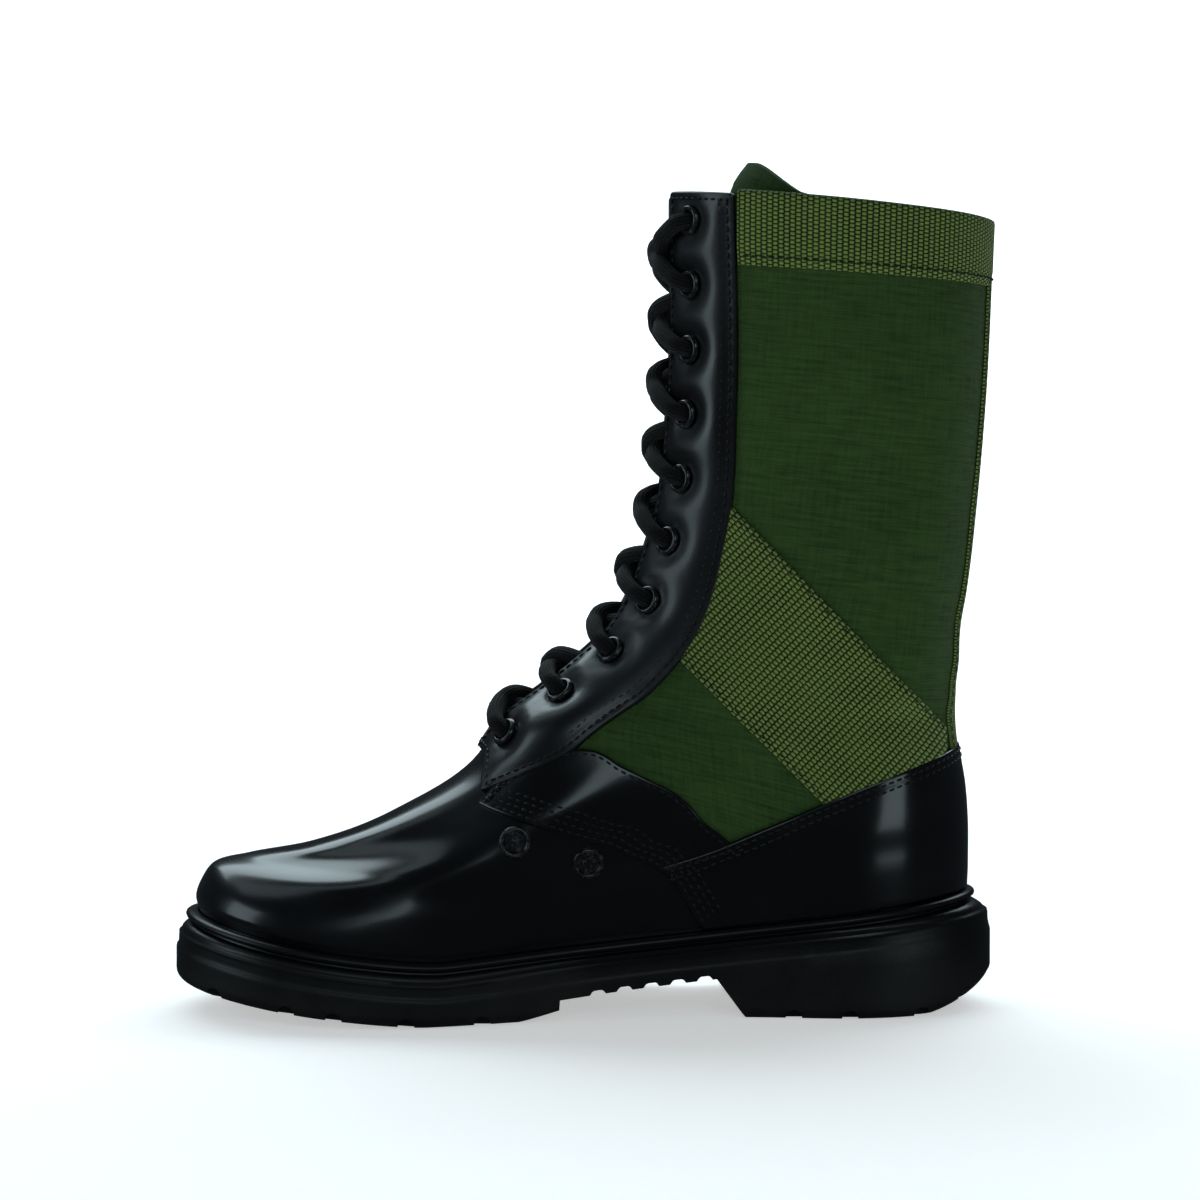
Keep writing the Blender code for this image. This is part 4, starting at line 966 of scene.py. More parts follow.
def enamel(name):
    """Black enamel, with random lighter patches painted on as highlight and a finish that is
    glossier in some patches than in others.
    """
    finish = Finish(name, (0.006, 0.006, 0.007), 0.22, metallic=0.3, coat_weight=0.5)
    blotches = finish.noise(500.0, 3.0)
    finish.feed("Roughness", blotches.ramp(0.3, 0.7, 0.15, 0.34))
    # The lighter second colour is a painted highlight on the rings.
    dark, painted_highlight = (0.008, 0.009, 0.010), (0.05, 0.05, 0.052)
    finish.feed("Base Color", finish.mix(blotches.ramp(0.45, 0.8), dark, painted_highlight))
    finish.bump(blotches, 0.03 * MM)
    return finish.material


def thread(name, colour):
    """Waxed sewing thread with its twist."""
    finish = Finish(name, colour, 0.38)
    twist = finish.noise(2600.0, 1.0)
    finish.feed("Base Color", finish.mix(twist, scaled(colour, 0.6), scaled(colour, 1.6)))
    finish.bump(twist, 0.08 * MM)
    return finish.material


def felt(name, colour):
    """Dark brushed cloth of the insole."""
    finish = Finish(name, colour, 0.95, sheen_weight=0.3)
    fuzz = finish.noise(1200.0, 4.0, 0.7)
    finish.feed("Base Color", finish.mix(fuzz, scaled(colour, 0.5), scaled(colour, 1.5)))
    finish.bump(fuzz, 0.2 * MM)
    return finish.material


def finish_named(name):
    """The material of that name, made when it is first asked for."""
    if name in bpy.data.materials:
        return bpy.data.materials[name]
    green, web = tuple(sizes().canvas_colour), tuple(sizes().webbing_colour)
    make = {
        "Polished leather": (leather, 0.22, 0.4, 0.006 * MM, 0.45),
        "Satin leather": (leather, 0.33, 0.15, 0.01 * MM, 0.7),
        "Green canvas": (canvas, green),
        # The lining is the same canvas made darker, which is painted shade inside the boot.
        "Lining canvas": (canvas, scaled(green, 0.8)),
        "Side webbing": (webbing, web, 2.3 * MM, 1.43 * MM),
        "Band webbing": (webbing, web, 2.04 * MM, 1.43 * MM),
        "Moulded rubber": (rubber,),
        "Black lace": (lace_cord,),
        "Black enamel": (enamel,),
        "Black thread": (thread, (0.004, 0.004, 0.005)),
        "Green thread": (thread, (0.01, 0.018, 0.007)),
        "Dark felt": (felt, (0.03, 0.03, 0.027)),
    }
    finish, *values = make[name]
    return finish(name, *values)


def pairs(table):
    """The two edges of a layer, smoothed, from its table of facing points."""
    steps = 8
    table = np.array(table, float)
    knots = np.arange(len(table))
    fine = smooth(knots, table, np.linspace(0, knots[-1], knots[-1] * steps + 1))
    return fine[:, :2], fine[:, 2:]


def opening_around(row):
    """The share of the half girth at which the throat opens, at each row."""
    row = np.atleast_1d(np.asarray(row, float))
    half = np.maximum(half_gap(row), CLEARANCE)
    arounds = np.linspace(0, 0.5, 121)
    widths = half_width(np.pi * arounds[None], row[:, None])
    return np.array([np.interp(h, w, arounds) for h, w in zip(half, widths)])


def at_opening(edge):
    """An edge kept clear of the throat opening."""
    edge = np.array(edge, float)
    edge[:, 1] = np.clip(edge[:, 1], 0, COLLAR_ROW)
    edge[:, 0] = np.maximum(edge[:, 0], opening_around(edge[:, 1]))
    return edge


THROAT_ROWS = np.linspace(THROAT_ROW - 0.5, COLLAR_ROW, 261)
THROAT_AROUNDS = opening_around(THROAT_ROWS)
EYELET_LINE = np.linspace(*EYELET_ROWS, 201)
EDGE_POINTS = skin(np.pi * opening_around(EYELET_LINE), EYELET_LINE)
EDGE_LENGTHS = lengths_along(EDGE_POINTS)


def eyelet_row(level):
    """The row of an eyelet, or between them, from 0 at the lowest."""
    length = level / (EYELET_COUNT - 1) * EDGE_LENGTHS[-1]
    return float(np.interp(length, EDGE_LENGTHS, EYELET_LINE))


def eyelet_around(row):
    """How far round an eyelet on a row lies, its inset in from the throat's edge."""
    start = math.pi * float(opening_around(row)[0])
    turns = np.linspace(start, start + 1.2, 80)
    lengths = lengths_along(skin(turns, row + 0 * turns))
    return float(np.interp(EYELET_INSET, lengths, turns)) / math.pi


def eyelet_points():
    """The eyelets' places, each as (around, row)."""
    return [(eyelet_around(eyelet_row(n)), eyelet_row(n)) for n in range(EYELET_COUNT)]


def side_turn(around, side):
    """The turn of an around on the inner (-1) or outer (1) side."""
    return math.pi * around if side < 0 else (2 - around) * math.pi


def round_hole(point, side, radius, count=20):
    """A round hole about an (around, row) point, as a chart loop."""
    centre = FRONT_CHART.flat([point])
    place = ground(*FRONT_CHART.turns(centre, side))[0]
    angles = 2 * math.pi * np.arange(count) / count
    loop = centre + radius * np.column_stack([np.cos(angles), np.sin(angles)])
    for _ in range(3):
        reach = np.linalg.norm(ground(*FRONT_CHART.turns(loop, side))[0] - place, axis=1)
        loop = centre + (loop - centre) * (radius / reach)[:, None]
    return loop


def vamp_limit(around):
    """The row at which the foot's lowest leather ends."""
    return np.interp(around, *np.array(VAMP_LINE).T)


class BOOT_OT_upper(bpy.types.Operator):
    """Makes the shell of the upper: leather round the foot, canvas up the leg, lined inside"""

    bl_idname = "boot.upper"
    bl_label = "Upper"

    columns = 300
    rows = 148
    leather, canvas, lining = 0, 1, 2

    def execute(self, context):
        rows = np.linspace(0, COLLAR_ROW, self.rows + 1)
        opening = np.where(half_gap(rows) > 0, opening_around(rows), 0.0) * np.pi
        share = np.linspace(0, 1, self.columns + 1)
        # more columns where the foot's sides run straight
        share = share - 0.035 * np.sin(4 * np.pi * share)
        turn = opening[:, None] + (2 * np.pi - 2 * opening[:, None]) * share
        v = rows[:, None] + 0 * turn
        outer, out = ground(turn, v)
        inner = outer - out * WALL
        index = np.arange(turn.size).reshape(turn.shape)
        around = np.minimum(turn, 2 * np.pi - turn) / np.pi
        outside = np.where(v < vamp_limit(around), self.leather, self.canvas)
        faces = sheet_faces(index)
        kinds = outside[:-1, :-1].ravel().tolist()
        kinds += [self.lining] * len(kinds)
        first_open = int(np.argmax(opening > 0))
        for line, kind in ((index[0], self.leather), (index[-1][::-1], self.canvas),
                           (index[first_open:, 0][::-1], self.canvas),
                           (index[first_open:, -1], self.canvas)):
            faces += wall_faces(line, index.size)
            kinds += [kind] * (len(line) - 1)
        points = np.concatenate([outer.reshape(-1, 3), inner.reshape(-1, 3)])
        uv = self.cloth(outer)
        obj = add_mesh("boot_upper", points, faces, np.concatenate([uv, uv]), None)
        for name in ("Polished leather", "Green canvas", "Lining canvas"):
            obj.data.materials.append(finish_named(name))
        obj.data.polygons.foreach_set("material_index", kinds)
        # the two edges of the closed foot meet at its front
        bm = bmesh.new()
        bm.from_mesh(obj.data)
        bmesh.ops.remove_doubles(bm, verts=bm.verts, dist=1e-6)
        bm.to_mesh(obj.data)
        bm.free()
        settle(obj, "canvas", "upper")
        return {"FINISHED"}

    def cloth(self, grid):
        """UV points in metres: across from the back, and up from the collar."""
        arc = np.cumsum(np.linalg.norm(np.diff(grid, axis=1, prepend=grid[:, :1]), axis=-1), axis=1)
        rise = np.cumsum(np.linalg.norm(np.diff(grid, axis=0, prepend=grid[:1]), axis=-1), axis=0)
        middle = arc[:, grid.shape[1] // 2][:, None]
        return np.stack([arc - middle, rise - rise[-1:]], axis=-1).reshape(-1, 2)


def eyestay_swell(side):
    """Padding of the eyestay: soft dimples about the eyelets, and a dip along each seam."""
    centres = [ground(side_turn(a, side), r)[0] for a, r in eyelet_points()]

    def swell(place, edge):
        away = np.min([np.linalg.norm(place - c, axis=1) for c in centres], axis=0)
        puff = 0.9 * MM * np.sin(np.clip((edge - 3.0 * MM) / (8 * MM), 0, 1) * np.pi / 2)
        dimple = 1.0 * MM * np.exp(-(away / (8.0 * MM)) ** 3)
        seam = 0.30 * MM * np.exp(-((edge - EYESTAY_SEAM) / (0.8 * MM)) ** 2)
        return puff - dimple - seam

    return swell


def seam_dip(depth):
    """A dip in a layer along the seam that runs depth inside its edge."""
    dip, half = 0.22 * MM, 0.55 * MM

    def swell(place, edge):
        return -dip * np.exp(-((edge - depth) / half) ** 2)

    return swell


class BOOT_OT_leather(bpy.types.Operator):
    """Lays the eyestays, quarters and heel counter on the upper"""

    bl_idname = "boot.leather"
    bl_label = "Leather layers"

    eyelet_hole = 3.6 * MM
    quarter_seams = (1.8 * MM, 4.2 * MM, 6.6 * MM, 9.0 * MM)
    counter_seams = (2.2 * MM, 4.6 * MM)
    counter_end_seams = (7.0 * MM, 9.4 * MM)
    # length, pitch and thickness
    bar_tack = (2.6 * MM, 2.9 * MM, 1.9 * MM)

    def execute(self, context):
        size = sizes()
        black, seams, tacks = finish_named("Black thread"), [], []
        for side, word in SIDES:
            seams += self.lay_eyestay(side, word)
            more, tack = self.lay_quarter(side, word)
            seams += more
            tacks.append(tack)
        seams += self.lay_counter()
        settle(sew("boot_leather_stitches", seams, black, size.stitch_length, size.stitch_pitch,
                   size.thread), "lace")
        settle(sew("boot_bar_tacks", tacks, black, *self.bar_tack), "lace")
        return {"FINISHED"}

    def lay_eyestay(self, side, word):
        """Lays an eyestay and gives its seams: one all round and a second up its rear edge."""
        near, far = pairs(EYESTAY_EDGES)
        near, far = FRONT_CHART.flat(at_opening(near)), eased(FRONT_CHART.flat(far), 14 * MM)
        holes = [round_hole(p, side, self.eyelet_hole) for p in eyelet_points()]
        stay = Layer("boot_eyestay_" + word, np.vstack([near, far[::-1]]), side, EYESTAY,
                     holes=holes, swell=eyestay_swell(side))
        settle(stay.build(finish_named("Satin leather")), "leather", "eyestay_" + word)
        top = LAYER_GAP + EYESTAY
        rear = stay.seam(5.6 * MM, (0.24, 7.66), (0.292, 14.0))
        return [(stay.seam(EYESTAY_SEAM), FRONT_CHART, side, top - 0.12 * MM),
                (rear, FRONT_CHART, side, top + 0.05 * MM)]

    def lay_quarter(self, side, word):
        """Lays a quarter and gives its seams and the bar tack at its front."""
        low, high = pairs(QUARTER_EDGES)
        low, high = eased(FRONT_CHART.flat(low), 17 * MM), eased(FRONT_CHART.flat(high))
        first, *others = self.quarter_seams
        quarter = Layer("boot_quarter_" + word, np.vstack([low, high[::-1]]), side, QUARTER,
                        swell=seam_dip(first))
        settle(quarter.build(finish_named("Polished leather")), "leather", "quarter_" + word)
        top = LAYER_GAP + QUARTER
        seams = [(quarter.seam(first), FRONT_CHART, side, top - 0.1 * MM)]
        for depth in others:
            line = quarter.seam(depth, (0.24, 7.2), (0.558, 4.20))
            seams.append((line, FRONT_CHART, side, top - 0.08 * MM))
        tack = quarter.seam(3.0 * MM, (0.214, 7.48), (0.250, 7.15))
        return seams, (tack, FRONT_CHART, side, top)

    def lay_counter(self):
        """Lays the heel counter, from its inner edges and their mirror, and gives its seams."""
        low, high = pairs(COUNTER_EDGES)
        low, high = BACK_CHART.flat(low), eased(BACK_CHART.flat(high))
        far_low, far_high = ((edge * (-1, 1))[::-1] for edge in (low[:-1], high))
        outline = np.vstack([low, far_low, far_high[::-1], high[::-1][1:]])
        first = self.counter_seams[0]
        counter = Layer("boot_counter", outline, -1, COUNTER, chart=BACK_CHART, corner=1.2 * MM,
                        spacing=2.6 * MM, swell=seam_dip(first))
        settle(counter.build(finish_named("Polished leather")), "leather", "counter")
        height = LAYER_GAP + COUNTER - 0.1 * MM
        lines = [counter.seam(depth, (1.40, 1.3), (0.60, 1.3)) for depth in self.counter_seams]
        for depth in self.counter_end_seams:
            lines.append(counter.seam(depth, (1.40, 1.3), (1.43, 3.9)))
            lines.append(counter.seam(depth, (0.57, 3.9), (0.60, 1.3)))
        return [(line, BACK_CHART, -1, height) for line in lines]


def straight_sides(corners):
    """The outline through (around, row) corners, straight between them as seen from the side."""
    points = []
    for first, last in zip(corners, corners[1:] + corners[:1]):
        ends = [skin(math.pi * a, r)[[0, 2]] for a, r in (first, last)]
        steps = max(1, round(np.linalg.norm(ends[1] - ends[0]) / (5 * MM)))
        for share in np.arange(steps) / steps:
            goal = ends[0] + (ends[1] - ends[0]) * share
            at = np.array(first) + (np.array(last) - np.array(first)) * share
            for _ in range(25):
                here = skin(math.pi * at[0], at[1])[[0, 2]]
                along = (skin(math.pi * (at[0] + 0.005), at[1])[[0, 2]] - here) / 0.005
                up = (skin(math.pi * at[0], at[1] + 0.02)[[0, 2]] - here) / 0.02
                at = at + 0.5 * np.linalg.solve(np.column_stack([along, up]), goal - here)
            points.append(tuple(at))
    return points


class BOOT_OT_webbing(bpy.types.Operator):
    """Lays the diagonal side webbing and the back stay, and folds the binding over the collar"""

    bl_idname = "boot.webbing"
    bl_label = "Webbing"

    seam = 1.6 * MM

    def execute(self, context):
        size = sizes()
        seams = []
        for side, word in SIDES:
            seams += self.lay_band(side, word)
        seams += self.lay_back_stay()
        self.bind_collar()
        turns = np.linspace(BINDING_FROM + 0.01, 2 - BINDING_FROM - 0.01, 160)
        line = BACK_CHART.flat(np.column_stack([turns, BINDING_ROW + 0.045 + 0 * turns]))
        seams.append((line, BACK_CHART, -1, LAYER_GAP + 1.12 * MM))
        obj = sew("boot_webbing_stitches", seams, finish_named("Green thread"), size.stitch_length,
                  size.stitch_pitch, size.thread * 0.9)
        settle(obj, "webbing")
        return {"FINISHED"}

    def lay_band(self, side, word):
        """Lays a diagonal band and gives the seams along its two long edges."""
        outline = FRONT_CHART.flat(straight_sides(WEBBING_CORNERS))
        band = Layer("boot_side_webbing_" + word, outline, side, WEBBING,
                     corner=0.8 * MM, roll=0.6 * MM)
        along = [skin(math.pi * a, r) for a, r in WEBBING_CORNERS[:2]]
        settle(band.build(finish_named("Side webbing"), along), "webbing", "side_webbing_" + word)
        height = LAYER_GAP + WEBBING - 0.15 * MM
        return [(band.seam(self.seam, *ends), FRONT_CHART, side, height)
                for ends in (WEBBING_CORNERS[:2], WEBBING_CORNERS[5:7])]

    def lay_back_stay(self):
        """Lays the back stay and gives the seams up its two edges."""
        rows = np.linspace(*BACK_STAY_ROWS, 40)
        half = self.half_around(rows)
        near, far = np.column_stack([1 - half, rows]), np.column_stack([1 + half, rows])
        outline = BACK_CHART.flat(np.vstack([near, far[::-1]]))
        stay = Layer("boot_back_stay", outline, -1, BACK_STAY, chart=BACK_CHART,
                     corner=0.8 * MM, roll=0.6 * MM)
        settle(stay.build(finish_named("Band webbing")), "webbing", "back_stay")
        return [(stay.seam(self.seam, start, end), BACK_CHART, -1, LAYER_GAP + BACK_STAY - 0.1 * MM)
                for start, end in ((near[-1], near[0]), (far[0], far[-1]))]

    def half_around(self, rows):
        """The share of the half girth that half the back stay's width takes up on each row."""
        arounds = np.linspace(0.7, 1, 121)
        widths = half_width(np.pi * arounds[None], rows[:, None])
        half = BACK_STAY_WIDTH / 2
        return np.array([1 - np.interp(half, width[::-1], arounds[::-1]) for width in widths])

    def bind_collar(self):
        """Lays one strip of webbing up the outside, over the collar's edge and down the inside."""
        over = 0.35 * MM
        outside, inside = LAYER_GAP, -WALL - 0.7 * MM
        thick = WEBBING
        lows = np.linspace(BINDING_ROW, COLLAR_ROW, 9)
        # row, height off the skin and lift over the collar's edge, once round the strip's section
        line = [(r, outside + thick * (0.35 + 0.65 * min(1, 4 * k / 8)), 0.0)
                for k, r in enumerate(lows)]
        centre, reach = (outside + inside) / 2, (outside - inside) / 2 + thick
        for angle in np.linspace(0, math.pi, 9)[1:-1]:
            offset = centre + reach * math.cos(angle)
            line.append((COLLAR_ROW, offset, over + thick * math.sin(angle)))
        line += [(r, inside - thick, 0.0) for r in lows[::-1]]
        line += [(r, inside, 0.0) for r in lows]
        line += [(COLLAR_ROW, inside, over), (COLLAR_ROW, outside, over)]
        line += [(r, outside, 0.0) for r in lows[::-1]]
        around = np.linspace(BINDING_FROM, 2 - BINDING_FROM, 281)
        turn = np.pi * around
        arc = BACK_CHART.flat(np.column_stack([around, COLLAR_ROW + 0 * around]))[:, 0]
        strips, uv, climb = [], [], 0.0
        for row, offset, lift in line:
            points = ground(turn, row + 0 * turn, offset)[0] + np.array([0, 0, lift])
            if strips:
                climb += np.linalg.norm(points - strips[-1], axis=1).mean()
            strips.append(points)
            uv.append(np.column_stack([arc, 0 * arc + climb]))
        count, stations = len(line), len(around)
        grid = np.array(strips).transpose(1, 0, 2).reshape(-1, 3)
        uv = np.array(uv).transpose(1, 0, 2).reshape(-1, 2)
        faces = band_faces(stations, count)
        half = count // 2
        for start in (0, (stations - 1) * count):
            for n in range(half - 1):
                far = start + count - 1 - n
                faces.append((start + n, start + n + 1, far - 1, far))
        obj = add_mesh("boot_collar_binding", grid, faces, uv, finish_named("Band webbing"))
        settle(obj, "webbing", "collar_binding")


class BOOT_OT_tongue(bpy.types.Operator):
    """Makes the canvas tongue with its turned edge"""

    bl_idname = "boot.tongue"
    bl_label = "Tongue"

    def execute(self, context):
        rows = np.linspace(TONGUE_ROWS[0], COLLAR_ROW, 90)
        share = np.linspace(-1, 1, 61)
        half = TONGUE_WIDTH / 2 * np.interp(rows, TONGUE_ROWS, TONGUE_WIDTHS)
        turn = np.array([self.turn_at(v, w * np.abs(share)) * -np.sign(share)
                         for v, w in zip(rows, half)])
        v = rows[:, None] + 0 * turn
        recess = TONGUE_RECESS * smooth(TONGUE_ROWS, TONGUE_BACK, rows)
        inward = -normal(0 * rows, rows)
        inward[:, 1] = 0
        inward /= np.linalg.norm(inward, axis=-1, keepdims=True)
        out = normal(turn, v)
        ripple = 0.35 * MM * np.sin(rows * 5.2)[:, None] * np.cos(share * 2.2)[None]
        depth = -WALL - 3 * CLEARANCE + ripple
        face = skin(turn, v) + out * depth[..., None] + recess[:, None, None] * inward[:, None]
        # the tip stands up over the collar and leans back
        peak = TONGUE_PEAK * np.clip(1 - np.abs(share) ** 2.6, 0.05, 1)
        tips = []
        for k in np.linspace(0, 1, 9)[1:]:
            tip = face[-1].copy()
            tip[:, 2] += k * peak
            tip[:, 0] += k**1.4 * 0.6 * peak
            tips.append(tip)
        face = np.concatenate([face, np.array(tips)])
        normals = np.concatenate([out, np.repeat(out[-1:], len(tips), axis=0)])
        # the edge is turned under, so it is thicker
        edge = np.minimum(1 - np.abs(share), 1.0)[None] + 0 * face[..., 0]
        turned = 0.5 * MM
        hem = turned * np.clip(1 - edge * 9, 0, 1)
        hem[-6:] = np.maximum(hem[-6:], turned)
        outer = face + normals * hem[..., None] * 0.6
        inner = face - normals * (TONGUE + hem * 0.4)[..., None]
        index = np.arange(face[..., 0].size).reshape(face.shape[:2])
        faces = sheet_faces(index)
        for border in (index[0], index[-1][::-1], index[:, 0][::-1], index[:, -1]):
            faces += wall_faces(border, index.size)
        down = np.linalg.norm(np.diff(face, axis=0, prepend=face[:1]), axis=-1)
        across = np.linalg.norm(np.diff(face, axis=1, prepend=face[:, :1]), axis=-1)
        uv = np.stack([across.cumsum(axis=1), down.cumsum(axis=0)], axis=-1).reshape(-1, 2)
        points = np.concatenate([outer.reshape(-1, 3), inner.reshape(-1, 3)])
        obj = add_mesh("boot_tongue", points, faces, np.concatenate([uv, uv]),
                       finish_named("Green canvas"))
        settle(obj, "canvas", "tongue")
        return {"FINISHED"}

    def turn_at(self, row, wide):
        """The turn at which the skin is a half width wide on a row."""
        turns = np.linspace(0, np.pi / 2, 121)
        return np.interp(wide, half_width(turns, row), turns)


def tread_height(x):
    """Height of the tread over the floor at x, as it springs up at toe and heel."""
    x = np.asarray(x, float)
    toe = np.clip((TOE_ROLL_FROM - x) / (TOE_ROLL_FROM - (BACK - LENGTH - BEAD)), 0, 1.1)
    heel = np.clip((x - HEEL_ROLL_FROM) / (BACK + BEAD - HEEL_ROLL_FROM), 0, 1.2)
    return TOE_SPRING * toe**1.3 + HEEL_SPRING * heel**1.6


class BOOT_OT_sole(bpy.types.Operator):
    """Moulds the lug sole with its bead, ribs and sunk panels, and lays in the insole"""

    bl_idname = "boot.sole"
    bl_label = "Sole"

    columns = 420
    # how far below the rim as a share of the side band, how far out as a share of the bead
    side = (
        (0.0, 0.55), (0.02, 0.78), (0.06, 0.94), (0.11, 1.0), (0.16, 0.95), (0.20, 0.8),
        (0.225, 0.55), (0.26, 0.42), (0.30, 0.44), (0.33, 0.62), (0.36, 0.76), (0.41, 0.82),
        (0.47, 0.82), (0.51, 0.74), (0.54, 0.70), (0.57, 0.74), (0.61, 0.78), (0.66, 0.78),
        (0.71, 0.78), (0.76, 0.79), (0.81, 0.79), (0.86, 0.80), (0.91, 0.81), (0.95, 0.82),
        (0.99, 0.86), (1.04, 0.88))
    # sunk panels of the side: their front and back, and their upper and lower edge, as shares
    panels = ((-0.01, 0.43, 0.60, 1.0), (0.695, 1.01, 0.60, 1.12))
    # a rib of the arch: share of its pitch, share of its depth
    rib = ((0.15, 0), (0.25, 0.8), (0.32, 1), (0.58, 1), (0.65, 0.8), (0.75, 0))
    # radius of the roll from the side to the tread
    under = 3.6 * MM
    # the angle beyond which an edge is sharp
    sharp = 38

    def execute(self, context):
        turn = 2 * np.pi * np.arange(self.columns) / self.columns
        zero = 0 * turn
        share = np.minimum(turn, 2 * np.pi - turn) / np.pi
        shelf = skin(turn, zero) + normal(turn, zero) * CLEARANCE
        shelf[:, 2] = rim_height(shelf[:, 0]) - RIM_DEPTH
        away = normal(turn, 1 + zero)
        lip = skin(turn, 1 + zero) + away * CLEARANCE
        rim = rim_height(lip[:, 0])
        lip[:, 2] = rim
        away[:, 2] = 0
        away /= np.linalg.norm(away, axis=-1, keepdims=True)
        flare = smooth(FLARE_PLACES, np.array(FLARES), share) * BEAD
        foot = lip + away * (BEAD + flare)[:, None]

        def ring_at(height, drop, out):
            """A ring of the side at a height and drop, out by a share of the bead."""
            reach = BEAD * out + flare * self.flared(drop) - self.sunk(share, drop)
            ring = lip + away * reach[:, None]
            ring[:, 2] = height
            return ring

        rings = [shelf, lip]
        rings += [ring_at(rim - drop * SIDE_BAND, drop, out) for drop, out in self.side]
        top = rim - self.side[-1][0] * SIDE_BAND
        bottom = tread_height(foot[:, 0]) + self.under
        for k in np.linspace(0, 1, 8)[1:]:
            height = top + (bottom - top) * k
            rings.append(ring_at(height, (rim - height) / SIDE_BAND, 0.88 + 0.02 * k))
        for angle in np.linspace(0, 0.5 * math.pi, 9)[1:]:
            inward = self.under * (1 - math.cos(angle))
            ring = lip + away * (BEAD * 0.9 + flare - inward)[:, None]
            ring[:, 2] = tread_height(ring[:, 0]) + self.under * (1 - math.sin(angle))
            rings.append(ring)
        count = self.columns
        faces = band_faces(len(rings), count)
        for start in (0, (len(rings) - 1) * count):
            left = [start + n for n in range(count // 2 + 1)]
            right = [start + (-n % count) for n in range(count // 2 + 1)]
            faces += [tuple(dict.fromkeys(quad)) for quad in zip(left, left[1:], right[1:], right)]
        sole = add_mesh("boot_outsole", np.concatenate(rings), faces, smooth_angle=self.sharp)
        wide, deep = BALL_WIDTH, CHANNEL_WIDTH / 2
        self.cut(sole, [(self.arch(), -wide, wide)])
        self.cut(sole, [(self.channel(), -deep, deep)])
        self.cut(sole, self.grooves(foot))
        sole.data.materials.clear()
        sole.data.materials.append(finish_named("Moulded rubber"))
        bpy.ops.object.shade_smooth_by_angle(angle=math.radians(self.sharp))
        settle(sole, "rubber", "outsole")
        self.lay_insole()
        return {"FINISHED"}

    def flared(self, drop):
        """How far the flare has opened at a drop below the rim, from 0 to 1."""
        at = np.clip((drop - 0.22) / 0.5, 0, 1)
        return at * at * (3 - 2 * at)

    def sunk(self, share, drop):
        """How deep the sunk panels are at a share of the half girth and a drop below the rim."""
        deep = 0 * share
        for front, back, top, foot in self.panels:
            height = np.minimum(drop - top, foot - drop) * SIDE_BAND
            # the panels run out to a point beside the arch
            ends = np.minimum(share - front, back - share) * 330 * MM
            inside = np.minimum(height, ends * 0.35)
            deep = np.maximum(deep, np.clip(inside / (0.9 * MM), 0, 1) * 0.55 * MM)
        return deep

    def arch(self):
        """The (x, z) outline of what is cut away under the arch, with the ribs left across it."""
        top = BREAST_X - BREAST_SLANT
        outline = [(BREAST_X, -ARCH_HEIGHT), (BREAST_X, 0.0), (top, ARCH_HEIGHT)]
        for k in range(ARCH_RIBS):
            for share, deep in self.rib:
                at = (k + share) / ARCH_RIBS * 0.85
                height = ARCH_HEIGHT + (ARCH_FRONT_HEIGHT - ARCH_HEIGHT) * at
                outline.append((top + (ARCH_FRONT_X - top) * at, height + deep * ARCH_RIB))
        outline += [(ARCH_FRONT_X, ARCH_FRONT_HEIGHT), (ARCH_FRONT_X, ARCH_STEP),
                    (TREAD_FRONT_X, 0.0), (TREAD_FRONT_X, -ARCH_HEIGHT)]
        return outline

    def notch(self, x):
        """The (x, z) outline of a groove of the tread at x, round at its top."""
        base, half = float(tread_height(x)), NOTCH_WIDTH / 2
        arc = [(-1.0, -1.0)]
        arc += [(-math.cos(a), math.sin(a)) for a in np.linspace(0, math.pi, 9)]
        arc += [(1.0, -1.0)]
        return [(x + half * across, base + NOTCH_DEPTH * up) for across, up in arc]

    def channel(self):
        """The (x, z) outline of the channel along the forefoot's tread."""
        xs = np.linspace(*CHANNEL, 14)
        top = [(x, float(tread_height(x)) + CHANNEL_DEPTH) for x in xs]
        return top + [(x, float(tread_height(x)) - CHANNEL_DEPTH) for x in xs[::-1]]

    def grooves(self, foot):
        """The tread's grooves: a notch in each edge of the sole and a groove between the two, with
        a web of rubber left at each end of the groove."""
        notch, web = 6.5 * MM, 4.0 * MM
        result = []
        for x in NOTCHES:
            near = foot[np.abs(foot[:, 0] - x) < 3 * MM, 1]
            low, high = near.min(), near.max()
            outline = self.notch(x)
            result.append((outline, low - notch, low + notch))
            result.append((outline, high - notch, high + notch))
            if high - low > 4 * (notch + web):
                result.append((outline, low + notch + web, high - notch - web))
        return result

    def cut(self, sole, prisms):
        """Cuts prisms out of the sole, each an (x, z) outline and the y of its two ends."""
        points, faces = [], []
        for outline, near, far in prisms:
            faces += tube_faces(2, len(outline), len(points))
            points += [(x, y, z) for y in (near, far) for x, z in outline]
        carve(sole, add_mesh("cutter", points, faces))

    def lay_insole(self):
        """Lays the insole on the shelf inside the upper, with a soft upper edge."""
        count = 140
        turn = 2 * np.pi * np.arange(count) / count
        low = skin(turn, 0 * turn) - normal(turn, 0 * turn) * (WALL + CLEARANCE)
        low[:, 2] = rim_height(low[:, 0]) - RIM_DEPTH + CLEARANCE
        middle = low.mean(axis=0)
        rings = []
        for scale, up in ((1.0, 0.0), (1.0, INSOLE * 0.7), (0.992, INSOLE)):
            rings.append(np.column_stack([(low[:, :2] - middle[:2]) * scale + middle[:2],
                                          low[:, 2] + up]))
        for scale in (0.85, 0.6, 0.3):
            flat = (low[:, :2] - middle[:2]) * scale + middle[:2]
            height = rim_height(flat[:, 0]) - RIM_DEPTH + CLEARANCE + INSOLE
            rings.append(np.column_stack([flat, height]))
        obj = add_mesh("boot_insole", np.concatenate(rings), tube_faces(len(rings), count), None,
                       finish_named("Dark felt"), smooth_angle=40)
        settle(obj, "insole", "insole")


